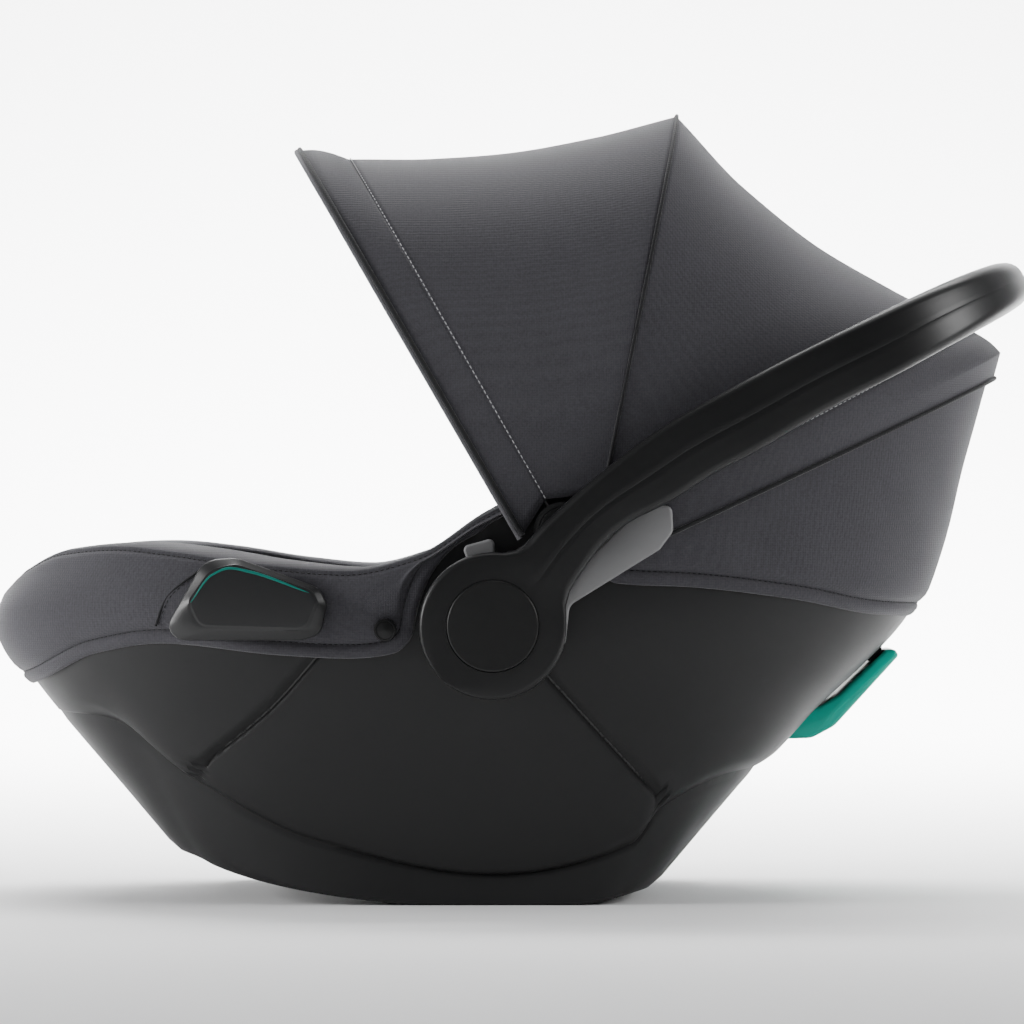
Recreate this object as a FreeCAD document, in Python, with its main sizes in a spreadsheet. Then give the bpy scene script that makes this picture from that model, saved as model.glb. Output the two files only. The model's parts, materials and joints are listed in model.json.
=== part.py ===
"""Infant car seat (rear-facing baby carrier) as an assembly of separate pieces.

Frame: millimetres, +Z up, origin on the floor under the middle of the seat.  X runs from the
foot end (-X) to the head end (+X).  "left" is -Y and "right" is +Y; every right-hand piece is
the mirror image of its left-hand twin.  The carrying handle is parked towards the head end and
the sun canopy is open.
"""

import FreeCAD, Part
import math
import os

import Sketcher

V = FreeCAD.Vector
DOC = FreeCAD.newDocument("InfantCarSeat")
SHEET = DOC.addObject("Spreadsheet::Sheet", "Dimensions")

# ----------------------------------------------------------------------------------------------
# Driving dimensions, in millimetres and degrees.  Every cell has the alias given here.
# ----------------------------------------------------------------------------------------------
CELLS = {
    # layers of the bucket, measured from the outer face of the plastic shell
    "wall": 4.0,
    "skirt_wall": 5.0,
    "layer_gap": 0.4,
    "foam_thickness": 21.5,
    "lining_thickness": 8.0,
    "cover_thickness": 6.0,
    "pan_thickness": 4.0,
    # handle hub, axis along Y
    "hub_x": -12.0,
    "hub_z": 179.0,
    "hub_radius": 46.0,
    "hub_inner_y": 199.5,
    "hub_depth": 20.5,
    "cap_radius": 28.6,
    "cap_depth": 7.0,
    "cap_proud": 1.0,
    "flange_radius": 44.5,
    "flange_y": 188.0,
    "boss_radius": 28.0,
    "boss_y": 199.0,
    "journal_radius": 9.0,
    "journal_end_y": 213.1,
    "running_gap": 0.06,
    "gear_pocket_radius": 27.0,
    "gear_pocket_depth": 9.5,
    "gear_radius": 24.5,
    "gear_bore": 9.06,
    "gear_depth": 4.0,
    "gear_teeth": 12,
    "bolt_head_radius": 13.0,
    "bolt_head_depth": 2.4,
    "bolt_shank_radius": 4.0,
    # handle button and release lever
    "button_width": 21.0,
    "button_depth": 9.5,
    "lever_thickness": 4.8,
    "lever_pin_radius": 4.0,
    # canopy
    "pivot_x": 32.0,
    "pivot_z": 238.0,
    "pivot_radius": 18.4,
    "pivot_post_radius": 6.0,
    "pivot_cap_depth": 4.0,
    "pivot_end_y": 198.6,
    "fabric": 2.0,
    "canopy_half_width": 193.9,
    "bow_radius": 1.3,
    # docking bars under the seat
    "bar_radius": 5.0,
    "bar_length": 236.0,
    "bracket_width": 16.0,
    "screw_radius": 2.0,
    # harness
    "strap_width": 25.0,
    "strap_thickness": 1.6,
    "pad_width": 42.0,
    "pad_thickness": 9.0,
    "buckle_width": 40.0,
    "buckle_depth": 17.0,
    "buckle_height": 52.0,
    "buckle_button_side": 20.0,
    # headrest
    "headrest_length": 112.0,
    "headrest_board": 3.0,
    "headrest_pad": 15.0,
    "stud_radius": 7.2,
}
for row, (alias, value) in enumerate(CELLS.items(), start=1):
    SHEET.set(f"A{row}", alias)
    SHEET.set(f"B{row}", str(value))
    SHEET.setAlias(f"B{row}", alias)
DOC.recompute()

EXPORTS = []


def cell(alias):
    """The number held by one cell of the sheet."""
    return float(getattr(SHEET, alias))


def keep(obj, label):
    """Marks an object as a finished sub-part and gives it its name."""
    obj.Label = label
    EXPORTS.append(obj)
    return obj


def feature(name, shape):
    """A document object that holds a shape made with Part's own functions."""
    obj = DOC.addObject("Part::Feature", name)
    obj.Shape = shape
    return obj


def bind(obj, **expressions):
    """Binds properties to expressions over the sheet, such as Radius="hub_radius"."""
    for prop, text in expressions.items():
        words = text.split(" ")
        bound = " ".join("Dimensions." + w if w in CELLS else w for w in words)
        obj.setExpression(prop.replace("__", "."), bound)
    return obj


def boolean(kind, name, base, tool):
    """A parametric Part::Cut, Part::Fuse or Part::Common of two objects."""
    obj = DOC.addObject(kind, name)
    obj.Base, obj.Tool = base, tool
    return obj


def mirror_right(left, label):
    """The right-hand twin of a left-hand piece."""
    obj = DOC.addObject("Part::Mirroring", label)
    obj.Source = left
    obj.Base = V(0, 0, 0)
    obj.Normal = V(0, 1, 0)
    return keep(obj, label)


ALONG_MINUS_Y = FreeCAD.Rotation(V(1, 0, 0), 90)


def disc(name, radius, depth, start_y, x="hub_x", z="hub_z"):
    """A cylinder on the left side, from |y| = start_y outwards; its sizes are expressions."""
    obj = DOC.addObject("Part::Cylinder", name)
    obj.Placement = FreeCAD.Placement(V(0, 0, 0), ALONG_MINUS_Y)
    bind(obj, Radius=radius, Height=depth, Placement__Base__x=x, Placement__Base__z=z)
    bind(obj, Placement__Base__y="-1 * ( " + start_y + " )")
    return obj


# ----------------------------------------------------------------------------------------------
# The bucket: horizontal sections, each a superellipse, lofted upwards.  The lower sections are
# boxy, so that the rocker skirts are flat, and the upper ones are round.
# (height, foot-end x, head-end x, half width, power of the superellipse)
# ----------------------------------------------------------------------------------------------
LEVELS = [
    (-8, -183, 84, 149, 5.0),
    (30, -217, 116, 151, 4.6),
    (75, -256, 155, 157, 3.9),
    (120, -296, 197, 168, 3.1),
    (142, -314, 219, 173, 2.8),
    (165, -328, 243, 178, 2.6),
    (190, -329, 262, 181, 2.6),
    (215, -317, 272, 181, 2.6),
    (245, -304, 280, 181, 2.6),
    (300, -296, 294, 180, 2.6),
    (345, -294, 308, 178, 2.6),
    (390, -294, 322, 176, 2.6),
]
PLAN_POINTS = 28


def plan_wire(z, foot, head, half_width, power):
    """One horizontal section of the bucket as a closed, smooth wire."""
    points = []
    for i in range(PLAN_POINTS):
        angle = 2 * math.pi * i / PLAN_POINTS
        c, s = math.cos(angle), math.sin(angle)
        reach = head if c > 0 else -foot
        x = reach * math.copysign(abs(c) ** (2 / power), c)
        y = half_width * math.copysign(abs(s) ** (2 / power), s)
        points.append(V(x, y, z))
    curve = Part.BSplineCurve()
    curve.interpolate(points, PeriodicFlag=True)
    return Part.Wire([curve.toShape()])


def bucket(offset):
    """The solid of the bucket's envelope, moved outwards by offset."""
    wires = [plan_wire(z, f - offset, h + offset, w + offset, n) for z, f, h, w, n in LEVELS]
    return Part.makeLoft(wires, True, False)


def spline(points):
    """An open smooth edge through (x, z) points in the y = 0 plane."""
    curve = Part.BSplineCurve()
    curve.interpolate([V(x, 0, z) for x, z in points])
    return curve.toShape()


def lines(points):
    """Straight edges through (x, z) points."""
    corners = [V(x, 0, z) for x, z in points]
    return [Part.makeLine(a, b) for a, b in zip(corners, corners[1:])]


def across(edges, low_y=-260.0, high_y=260.0):
    """A closed outline in the XZ plane, extruded along Y between two places."""
    face = Part.Face(Part.Wire(Part.__sortEdges__(edges)))
    face.translate(V(0, low_y, 0))
    return face.extrude(V(0, high_y - low_y, 0))


FAR = 420.0
# seat surface in the middle plane: foot end, thighs, bight, backrest, head end
SEAT_LINE = [
    (-420, 262), (-290, 205), (-240, 172), (-180, 134), (-110, 98), (-40, 72),
    (20, 63), (60, 76), (150, 160), (250, 262), (284, 335), (300, FAR),
]
# top edge of the plastic shell, seen from the side
RIM_LINE = [
    (-FAR, 190), (-334, 196), (-316, 209), (-288, 221), (-252, 225), (-219, 223),
    (-162, 215), (-104, 210), (-60, 219), (-19, 243), (40, 270), (120, 297),
    (200, 320), (270, 338), (312, 346), (FAR, 350),
]
# underside that stands on the floor: a flat stretch between two rocker curves
ROCKER_FOOT = [(-222, 32), (-198, 23), (-172, 15.5), (-134, 8), (-96, 3), (-58, 0)]
ROCKER_HEAD = [(42, 0), (62, 2.6), (96, 8.5)]
# lower edge of the cover on the outside of the shell: foot end, round the hub, head end
HEM_FOOT = [
    (-FAR, 118), (-335, 133), (-312, 140), (-266, 161), (-224, 167.5), (-148, 160.5),
    (-104, 158.5), (-76, 161.5), (-64, 172), (-60, 190), (-52, 210), (-36, 229),
    (-18, 240), (-4, 256),
]
HEM_HEAD = [(50, 282), (54, 250), (58, 212), (66, 206), (113, 203.5), (180, 195.5), (236, 185), (FAR, 176)]


def above(points, lift=0.0):
    """Everything above a side-view line that has been lifted."""
    moved = [(x, z + lift) for x, z in points]
    first, last = moved[0], moved[-1]
    top = 2 * FAR
    return across([spline(moved)] + lines([last, (last[0], top), (first[0], top), first]))


def below(points, lift=0.0):
    """Everything below a side-view line that has been lifted."""
    moved = [(x, z + lift) for x, z in points]
    first, last = moved[0], moved[-1]
    return across([spline(moved)] + lines([last, (last[0], -FAR), (first[0], -FAR), first]))


def standing_region():
    """Everything above the rocker line on which the seat stands."""
    foot, head = ROCKER_FOOT, ROCKER_HEAD
    edges = [spline(foot), spline(head)]
    edges += lines([foot[-1], head[0]])
    edges += lines([
        head[-1], (FAR, head[-1][1]), (FAR, 2 * FAR), (-FAR, 2 * FAR), (-FAR, foot[0][1]), foot[0],
    ])
    return across(edges)


gap = cell("layer_gap")
foam_in = cell("wall") + gap + cell("foam_thickness")
lining_in = foam_in + gap + cell("lining_thickness")
pan_top = -(cell("lining_thickness") + cell("foam_thickness") + 2 * gap)
pan_bottom = pan_top - cell("pan_thickness")

ENVELOPE = bucket(0.0)
CLEAR_OF_SHELL = feature("ShellClearance", bucket(0.3))

HUB_X, HUB_Z = cell("hub_x"), cell("hub_z")


def left_and_right(shape):
    """A shape and its mirror image in one compound."""
    return Part.makeCompound([shape, shape.mirror(V(0, 0, 0), V(0, 1, 0))])


def outer_shell():
    """Plastic bucket: thin walls, a pan over the hollow underside, and rocker skirts."""
    body = ENVELOPE.common(standing_region()).common(below(RIM_LINE))
    body = body.cut(bucket(-cell("wall")).common(above(SEAT_LINE, pan_top)))
    hollow = bucket(-cell("skirt_wall")).common(below(SEAT_LINE, pan_bottom))
    return body.cut(hollow)


def foam_liner():
    """Energy-absorbing foam between the shell and the lining."""
    outer = bucket(-cell("wall") - gap).common(above(SEAT_LINE, pan_top + gap))
    outer = outer.common(below(RIM_LINE, -1.0))
    return outer.cut(bucket(-foam_in).common(above(SEAT_LINE, -cell("lining_thickness") - gap)))


def seat_lining():
    """Padded lining of the bucket that the child lies on."""
    outer = bucket(-foam_in - gap).common(above(SEAT_LINE, -cell("lining_thickness")))
    outer = outer.common(below(RIM_LINE, -1.0))
    return outer.cut(bucket(-lining_in).common(above(SEAT_LINE)))


GUIDE_FOOT = (-196.0, -132.0, 170.0, 184.0)  # x and z range of the belt guide's foot


def seat_cover():
    """Fabric cover: a roll over the rim and a skirt down the outside of the shell."""
    thick = cell("cover_thickness")
    outside = bucket(thick)
    roll = outside.common(above(RIM_LINE, gap)).common(below(RIM_LINE, gap + thick))
    roll = roll.cut(bucket(-lining_in))
    skirt = outside.cut(bucket(gap)).common(below(RIM_LINE, gap))
    foot = skirt.common(above(HEM_FOOT)).common(Part.makeBox(FAR - 8, 600, 600, V(-FAR, -300, 0)))
    head = skirt.common(above(HEM_HEAD)).common(Part.makeBox(FAR, 600, 600, V(50, -300, 0)))
    cover = roll.fuse([foot, head])
    x0, x1, z0, z1 = GUIDE_FOOT
    window = Part.makeBox(x1 - x0 + 2, 60, z1 - z0 + 2, V(x0 - 1, -220, z0 - 1))
    return cover.cut(left_and_right(window))


keep(feature("outer_shell", outer_shell()), "outer_shell")
keep(feature("foam_liner", foam_liner()), "foam_liner")
keep(feature("seat_lining", seat_lining()), "seat_lining")
keep(feature("seat_cover", seat_cover()), "seat_cover")

# ----------------------------------------------------------------------------------------------
# Sketched bodies
# ----------------------------------------------------------------------------------------------


def rounded(points, radii):
    """Edges of a closed polygon whose corners are rounded, as Part geometry in a sketch plane."""
    count = len(points)
    corners = []
    for i, (p, radius) in enumerate(zip(points, radii)):
        here = V(*p, 0)
        before, after = V(*points[i - 1], 0), V(*points[(i + 1) % count], 0)
        to_before, to_after = (before - here).normalize(), (after - here).normalize()
        half = to_before.getAngle(to_after) / 2
        reach = radius / math.tan(half)
        start, end = here + to_before * reach, here + to_after * reach
        centre = here + (to_before + to_after).normalize() * (radius / math.sin(half))
        middle = centre + (here - centre).normalize() * radius
        corners.append((start, middle, end))
    geometry = []
    for i, (start, middle, end) in enumerate(corners):
        following = corners[(i + 1) % count][0]
        geometry.append(Part.Arc(start, middle, end))
        if (following - end).Length > 1e-6:
            geometry.append(Part.LineSegment(end, following))
    return geometry


def origin_plane(body, role):
    """One of a body's own origin planes."""
    return next(f for f in body.Origin.OriginFeatures if f.Role == role)


def sketched(name, role, geometry, radius_cells=()):
    """A new body with one sketch on an origin plane; circle radii are bound to cells."""
    body = DOC.addObject("PartDesign::Body", name)
    sketch = body.newObject("Sketcher::SketchObject", name + "Sketch")
    sketch.AttachmentSupport = [(origin_plane(body, role), "")]
    sketch.MapMode = "FlatFace"
    for piece in geometry:
        sketch.addGeometry(piece, False)
    for index, alias in radius_cells:
        constraint = sketch.addConstraint(
            Sketcher.Constraint("Radius", index, geometry[index].Radius)
        )
        sketch.setExpression(f"Constraints[{constraint}]", "Dimensions." + alias)
    return body, sketch


def padded_body(name, role, geometry, length, placement, radius_cells=(), soften=None):
    """A body padded from one sketch; soften rounds every edge of the outer end."""
    body, sketch = sketched(name, role, geometry, radius_cells)
    pad = body.newObject("PartDesign::Pad", name + "Pad")
    pad.Profile = sketch
    bind(pad, Length=length)
    body.Placement = placement
    DOC.recompute()
    if soften:
        top = pad.Shape.BoundBox.ZMax
        names = [
            f"Edge{i}" for i, e in enumerate(pad.Shape.Edges, start=1)
            if e.BoundBox.ZMin > top - 1e-4
        ]
        fillet = body.newObject("PartDesign::Fillet", name + "Fillet")
        fillet.Base = (pad, names)
        fillet.Radius = soften
        DOC.recompute()
    return body


def facing_left(x, y, z, turn=0.0):
    """Sketch X stays along +X, sketch Y becomes +Z, and pads grow towards -Y; turn is about Z."""
    stand = FreeCAD.Rotation(V(1, 0, 0), 90)
    return FreeCAD.Placement(V(x, y, z), FreeCAD.Rotation(V(0, 0, 1), turn) * stand)


# ----------------------------------------------------------------------------------------------
# Handle hubs
# ----------------------------------------------------------------------------------------------
SHELL_CORE_Y = 160.0  # inside the shell's wall; cut back to the shell's own surface below

LEVER_PIN = (HUB_X + 37.0 * math.cos(math.radians(-6)), HUB_Z + 37.0 * math.sin(math.radians(-6)))


def hub_base():
    """Fixed half of the hub: flange on the shell, central boss, journal and the lever's pin."""
    flange = disc("BaseFlange", "flange_radius", f"flange_y - {SHELL_CORE_Y}", f"{SHELL_CORE_Y}")
    boss = disc("BaseBoss", "boss_radius", "boss_y - flange_y + 1", "flange_y - 1")
    journal = disc("BaseJournal", "journal_radius", "journal_end_y - boss_y + 1", "boss_y - 1")
    pin = disc("LeverPin", "lever_pin_radius", "boss_y - flange_y + 0.8", "flange_y - 1")
    pin.setExpression("Placement.Base.x", None)
    pin.setExpression("Placement.Base.z", None)
    pin.Placement.Base = V(LEVER_PIN[0], pin.Placement.Base.y, LEVER_PIN[1])
    solid = DOC.addObject("Part::MultiFuse", "BaseSolid")
    solid.Shapes = [flange, boss, journal, pin]
    bore = disc("BaseBore", "bolt_shank_radius", "journal_end_y - boss_y + 6", "boss_y - 4")
    spring_seat = disc("SpringSeat", "gear_bore + 2.5", "3", "boss_y - 3")
    seat_core = disc("SpringSeatCore", "journal_radius", "4", "boss_y - 3.5")
    groove = boolean("Part::Cut", "SpringGroove", spring_seat, seat_core)
    on_shell = boolean("Part::Cut", "BaseOnShell", solid, CLEAR_OF_SHELL)
    bored = boolean("Part::Cut", "BaseBored", on_shell, bore)
    return keep(boolean("Part::Cut", "hub_base_left", bored, groove), "hub_base_left")


def lock_gear():
    """Toothed ring that slides on the journal and locks the handle."""
    teeth, outer, root = int(cell("gear_teeth")), cell("gear_radius"), cell("gear_radius") - 3
    geometry = []
    corners = []
    for i in range(teeth):
        middle = 2 * math.pi * i / teeth
        for radius, swing in ((root, -0.30), (outer, -0.17), (outer, 0.17), (root, 0.30)):
            angle = middle + swing * 2 * math.pi / teeth
            corners.append(V(radius * math.cos(angle), radius * math.sin(angle), 0))
    for a, b in zip(corners, corners[1:] + corners[:1]):
        geometry.append(Part.LineSegment(a, b))
    geometry.append(Part.Circle(V(0, 0, 0), V(0, 0, 1), cell("gear_bore")))
    start = -(cell("boss_y") + 4.6)
    return keep(
        padded_body("lock_gear_left", "XY_Plane", geometry, "gear_depth",
                    facing_left(HUB_X, start, HUB_Z), [(len(geometry) - 1, "gear_bore")]),
        "lock_gear_left",
    )


def hub_spring():
    """Conical return spring of the lock gear, as the ring that it fills when compressed."""
    inner, wire = cell("journal_radius") + 0.7, 0.8
    turns = [
        Part.makeTorus(inner + wire, wire, V(HUB_X, -y, HUB_Z), V(0, 1, 0))
        for y in (cell("boss_y") - 2.1, cell("boss_y") + 0.2, cell("boss_y") + 2.5)
    ]
    return Part.makeCompound(turns)


def handle_hub():
    """Round end of the handle's arm, with pockets for the lock gear and for the cap."""
    barrel = disc("HubBarrel", "hub_radius", "hub_depth", "hub_inner_y")
    DOC.recompute()
    rims = [
        (i, 1.2, 1.2) if e.BoundBox.YMin > -(cell("hub_inner_y") + 1) else (i, 3.0, 3.0)
        for i, e in enumerate(barrel.Shape.Edges, start=1)
        if abs(e.BoundBox.YMax - e.BoundBox.YMin) < 0.01
    ]
    soft = DOC.addObject("Part::Fillet", "HubSoft")
    soft.Base = barrel
    soft.Edges = rims
    gear_room = disc("GearRoom", "gear_pocket_radius", "gear_pocket_depth + 1", "hub_inner_y - 1")
    cap_room = disc("CapRoom", "cap_radius + 0.4", "cap_depth + 2", "hub_inner_y + hub_depth - cap_depth")
    bore = disc("HubBore", "journal_radius + running_gap", "hub_depth + 4", "hub_inner_y - 2")
    step = boolean("Part::Cut", "HubWithGearRoom", soft, gear_room)
    step = boolean("Part::Cut", "HubWithCapRoom", step, cap_room)
    return keep(boolean("Part::Cut", "handle_hub_left", step, bore), "handle_hub_left")


def hub_cap():
    """Plain round cap that closes the hub."""
    geometry = [Part.Circle(V(0, 0, 0), V(0, 0, 1), cell("cap_radius"))]
    outer_face = cell("hub_inner_y") + cell("hub_depth") + cell("cap_proud")
    depth = 3.2
    return keep(
        padded_body("hub_cap_left", "XY_Plane", geometry, str(depth),
                    facing_left(HUB_X, -(outer_face - depth), HUB_Z), [(0, "cap_radius")], soften=1.2),
        "hub_cap_left",
    )


def hub_bolt():
    """Bolt that holds the handle on its journal, with a wide flat head under the cap."""
    head = disc("BoltHead", "bolt_head_radius", "bolt_head_depth", "journal_end_y + 0.1")
    shank = disc("BoltShank", "bolt_shank_radius", "journal_end_y - boss_y + 3.3", "boss_y - 3")
    return keep(boolean("Part::Fuse", "hub_bolt_left", head, shank), "hub_bolt_left")


BASE = hub_base()
GEAR = lock_gear()
SPRING = keep(feature("hub_spring_left", hub_spring()), "hub_spring_left")
HUB = handle_hub()
CAP = hub_cap()
BOLT = hub_bolt()
for piece, name in (
    (BASE, "hub_base_right"), (GEAR, "lock_gear_right"), (SPRING, "hub_spring_right"),
    (HUB, "handle_hub_right"), (CAP, "hub_cap_right"), (BOLT, "hub_bolt_right"),
):
    mirror_right(piece, name)

# ----------------------------------------------------------------------------------------------
# Handle: two clamshell halves that follow one U-shaped path from hub to hub
# ----------------------------------------------------------------------------------------------
ARM_Y = cell("hub_inner_y") + cell("hub_depth") / 2
# side view of the arm: (x, z, half width of the arm in that view)
ARM_LINE = [
    (6, 198, 27), (35, 229, 20), (57, 252, 18.5), (82, 271, 20.5), (112, 289, 21.5),
    (163, 318, 20.5), (216, 345.5, 20), (272, 374, 18.5), (307, 390.5, 16.5), (322, 397, 14.5),
]
CORNER_X, GRIP_X = 200.0, 322.0
CORNER_POWER = 2.4
GRIP_HALF_DEPTH = 15.0
SECTION_POWER = 3.0


def along_arm(x):
    """Height, half width and slope of the arm at x, by smooth interpolation."""
    knots = ARM_LINE
    i = max(k for k in range(len(knots) - 1) if knots[k][0] <= x + 1e-9)

    def slope(k, column):
        a, b = knots[max(k - 1, 0)], knots[min(k + 1, len(knots) - 1)]
        return (b[column] - a[column]) / (b[0] - a[0])

    x0, x1 = knots[i][0], knots[i + 1][0]
    t, span = (x - x0) / (x1 - x0), x1 - x0
    values, rates = [], []
    for column in (1, 2):
        a, b, ma, mb = knots[i][column], knots[i + 1][column], slope(i, column), slope(i + 1, column)
        values.append(
            a * (2 * t**3 - 3 * t**2 + 1) + b * (3 * t**2 - 2 * t**3)
            + span * (ma * (t**3 - 2 * t**2 + t) + mb * (t**3 - t**2))
        )
        rates.append(
            (a - b) / span * (6 * t**2 - 6 * t) + ma * (3 * t**2 - 4 * t + 1) + mb * (3 * t**2 - 2 * t)
        )
    return values[0], values[1], rates[0]


def handle_stations():
    """(centre, in-plane width direction, half width, half depth) from the left hub to the right."""
    left = []
    for x in (6, 20, 35, 57, 82, 112, 140, 170, 196):
        left.append((x, -ARM_Y, 0.0))
    for i in range(1, 9):
        angle = math.pi / 2 * i / 8
        x = CORNER_X + (GRIP_X - CORNER_X) * math.sin(angle) ** (2 / CORNER_POWER)
        y = -ARM_Y * max(math.cos(angle), 0.0) ** (2 / CORNER_POWER)
        left.append((x, y, math.sin(angle) ** 2))
    whole = left + [(x, -y, share) for x, y, share in reversed(left[:-1])]
    stations = []
    for x, y, share in whole:
        z, half_width, rate = along_arm(min(x, GRIP_X))
        width_direction = V(-rate, 0, 1).normalize()
        half_depth = cell("hub_depth") / 2 * (1 - share) + GRIP_HALF_DEPTH * share
        stations.append((V(x, y, z), width_direction, half_width, half_depth))
    return stations


def handle_half(sign):
    """One clamshell of the handle: the half above (+1) or below (-1) its parting line."""
    stations = handle_stations()
    wires = []
    split = 0.1
    for i, (centre, wide, half_width, half_depth) in enumerate(stations):
        before = stations[max(i - 1, 0)][0]
        after = stations[min(i + 1, len(stations) - 1)][0]
        travel = (after - before).normalize()
        deep = travel.cross(wide).normalize()
        points = []
        for k in range(9):
            angle = math.pi * k / 8
            c, s = math.cos(angle), math.sin(angle)
            across_depth = half_depth * math.copysign(abs(c) ** (2 / SECTION_POWER), c)
            across_width = split + (half_width - split) * max(s, 0.0) ** (2 / SECTION_POWER)
            points.append(centre + deep * across_depth + wide * (sign * across_width))
        curve = Part.BSplineCurve()
        curve.interpolate(points)
        wires.append(Part.Wire([curve.toShape(), Part.makeLine(points[-1], points[0])]))
    solid = Part.makeLoft(wires, True, False)
    hub = Part.makeCylinder(cell("hub_radius") + 0.1, 60, V(HUB_X, -180, HUB_Z), V(0, -1, 0))
    return solid.cut(left_and_right(hub))


keep(feature("handle_upper_shell", handle_half(1)), "handle_upper_shell")
keep(feature("handle_lower_shell", handle_half(-1)), "handle_lower_shell")

# ----------------------------------------------------------------------------------------------
# Handle button and release lever
# ----------------------------------------------------------------------------------------------
BUTTON_ANGLE = 100.0  # degrees round the hub from +X


def handle_button():
    """Push button above the hub, which slides towards the hub's centre."""
    half = cell("button_width") / 2
    outline = [(-half + 4, 33), (half - 3, 33), (half, 54), (-half, 52)]
    geometry = rounded(outline, [1.5, 1.5, 3.5, 3.5])
    body = padded_body("handle_button_left", "XY_Plane", geometry, "button_depth",
                       facing_left(0, 0, 0), soften=1.6)
    stand = FreeCAD.Rotation(V(1, 0, 0), 90)
    tilt = FreeCAD.Rotation(V(0, 1, 0), -(BUTTON_ANGLE - 90))
    body.Placement = FreeCAD.Placement(V(HUB_X, -189.0, HUB_Z), tilt * stand)
    return keep(body, "handle_button_left")


LEVER_OUTLINE = [
    (10, 164), (33, 163), (36, 191.5), (92.5, 226.5), (101, 238), (100, 254), (84, 254), (62, 235),
    (35, 207.5), (10, 192),
]
LEVER_RADII = [3, 8, 8, 9, 8, 4, 6, 20, 14, 3]


def release_lever():
    """Long paddle under the handle's arm that frees the seat from a pushchair or base."""
    outline = [(x - LEVER_PIN[0], z - LEVER_PIN[1]) for x, z in LEVER_OUTLINE]
    geometry = rounded(outline, LEVER_RADII)
    geometry.append(Part.Circle(V(0, 0, 0), V(0, 0, 1), cell("lever_pin_radius") + 0.06))
    body = padded_body("LeverBlank", "XY_Plane", geometry, "lever_thickness",
                       facing_left(LEVER_PIN[0], -194.2, LEVER_PIN[1]), soften=None)
    boss_room = disc("LeverBossRoom", "boss_radius + 3.4", "20", "185")
    return keep(boolean("Part::Cut", "release_lever_left", body, boss_room), "release_lever_left")


BUTTON = handle_button()
LEVER = release_lever()
mirror_right(BUTTON, "handle_button_right")
mirror_right(LEVER, "release_lever_right")

# ----------------------------------------------------------------------------------------------
# Sun canopy
# ----------------------------------------------------------------------------------------------
PIVOT_X, PIVOT_Z = cell("pivot_x"), cell("pivot_z")


def canopy_pivot():
    """Round boss on the shell on which the canopy's bows turn."""
    post = disc("PivotPost", "pivot_post_radius", f"pivot_end_y - {SHELL_CORE_Y} - 1",
                f"{SHELL_CORE_Y}", "pivot_x", "pivot_z")
    cap = disc("PivotCap", "pivot_radius", "pivot_cap_depth", "pivot_end_y - pivot_cap_depth",
               "pivot_x", "pivot_z")
    whole = boolean("Part::Fuse", "PivotWhole", post, cap)
    return keep(boolean("Part::Cut", "canopy_pivot_left", whole, CLEAR_OF_SHELL), "canopy_pivot_left")


PIVOT = canopy_pivot()
mirror_right(PIVOT, "canopy_pivot_right")


def arch_points(base, crown, half_width, power, count=16):
    """Points of an arch from the left base over the crown to the right base."""
    points = []
    for i in range(count + 1):
        angle = math.pi * i / count
        rise = math.sin(angle) ** (2 / power)
        c = math.cos(angle)
        y = -half_width * math.copysign(abs(c) ** (2 / power), c)
        points.append(V(base[0] + (crown[0] - base[0]) * rise, y, base[1] + (crown[1] - base[1]) * rise))
    return points


def arch_band(base, crown, power):
    """Closed wire of the fabric's cross-section along one arch."""
    thick, half_width = cell("fabric"), cell("canopy_half_width")
    direction = V(crown[0] - base[0], 0, crown[1] - base[1])
    shrink = 1 - thick / direction.Length
    inner_crown = (base[0] + direction.x * shrink, base[1] + direction.z * shrink)
    outer = Part.BSplineCurve()
    outer.interpolate(arch_points(base, crown, half_width, power))
    inner = Part.BSplineCurve()
    inner.interpolate(arch_points(base, inner_crown, half_width - thick, power))
    ends = [
        Part.makeLine(outer.StartPoint, inner.StartPoint),
        Part.makeLine(inner.EndPoint, outer.EndPoint),
    ]
    return Part.Wire(Part.__sortEdges__([outer.toShape(), inner.toShape()] + ends))


def fabric_panel(sections):
    """Thin closed solid of fabric through (base, crown, power) arches."""
    return Part.makeLoft([arch_band(*s) for s in sections], True, False)


# (base, crown, arch power), from the canopy's front edge to the hem behind the child's head
FRONT_EDGE = ((7, 236), (-138, 487), 3.0)
FRONT_BOW = ((21, 258), (-107, 481), 3.0)
MID_BOW = ((57, 262), (107.6, 509), 3.0)
REAR_STITCH = ((58, 240), (303, 368.5), 2.5)
REAR_CORNER = ((57, 228), (321.5, 355), 2.25)
REAR_SEAM = ((56, 216), (317, 338), 2.2)
SEAM_GAP = 0.01  # share of a panel left open at each seam, so that panels don't touch


def between(a, b, share, sink=0.0):
    """The arch a share of the way from a to b, with its crown sunk towards the pivot."""
    def mix(p, q):
        return p + (q - p) * share

    base = (mix(a[0][0], b[0][0]), mix(a[0][1], b[0][1]))
    crown = V(mix(a[1][0], b[1][0]), 0, mix(a[1][1], b[1][1]))
    inward = (V(PIVOT_X, 0, PIVOT_Z) - crown).normalize() * sink
    return (base, (crown.x + inward.x, crown.z + inward.z), mix(a[2], b[2]))


def panel_sections(a, b, sags):
    """Arches of a taut panel; sags are the depths of its crown line at even steps."""
    steps = len(sags) + 1
    shares = [SEAM_GAP] + [i / steps for i in range(1, steps)] + [1 - SEAM_GAP]
    return [between(a, b, share, sag) for share, sag in zip(shares, [0, *sags, 0])]


EYE_THICKNESS = 1.5


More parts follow.
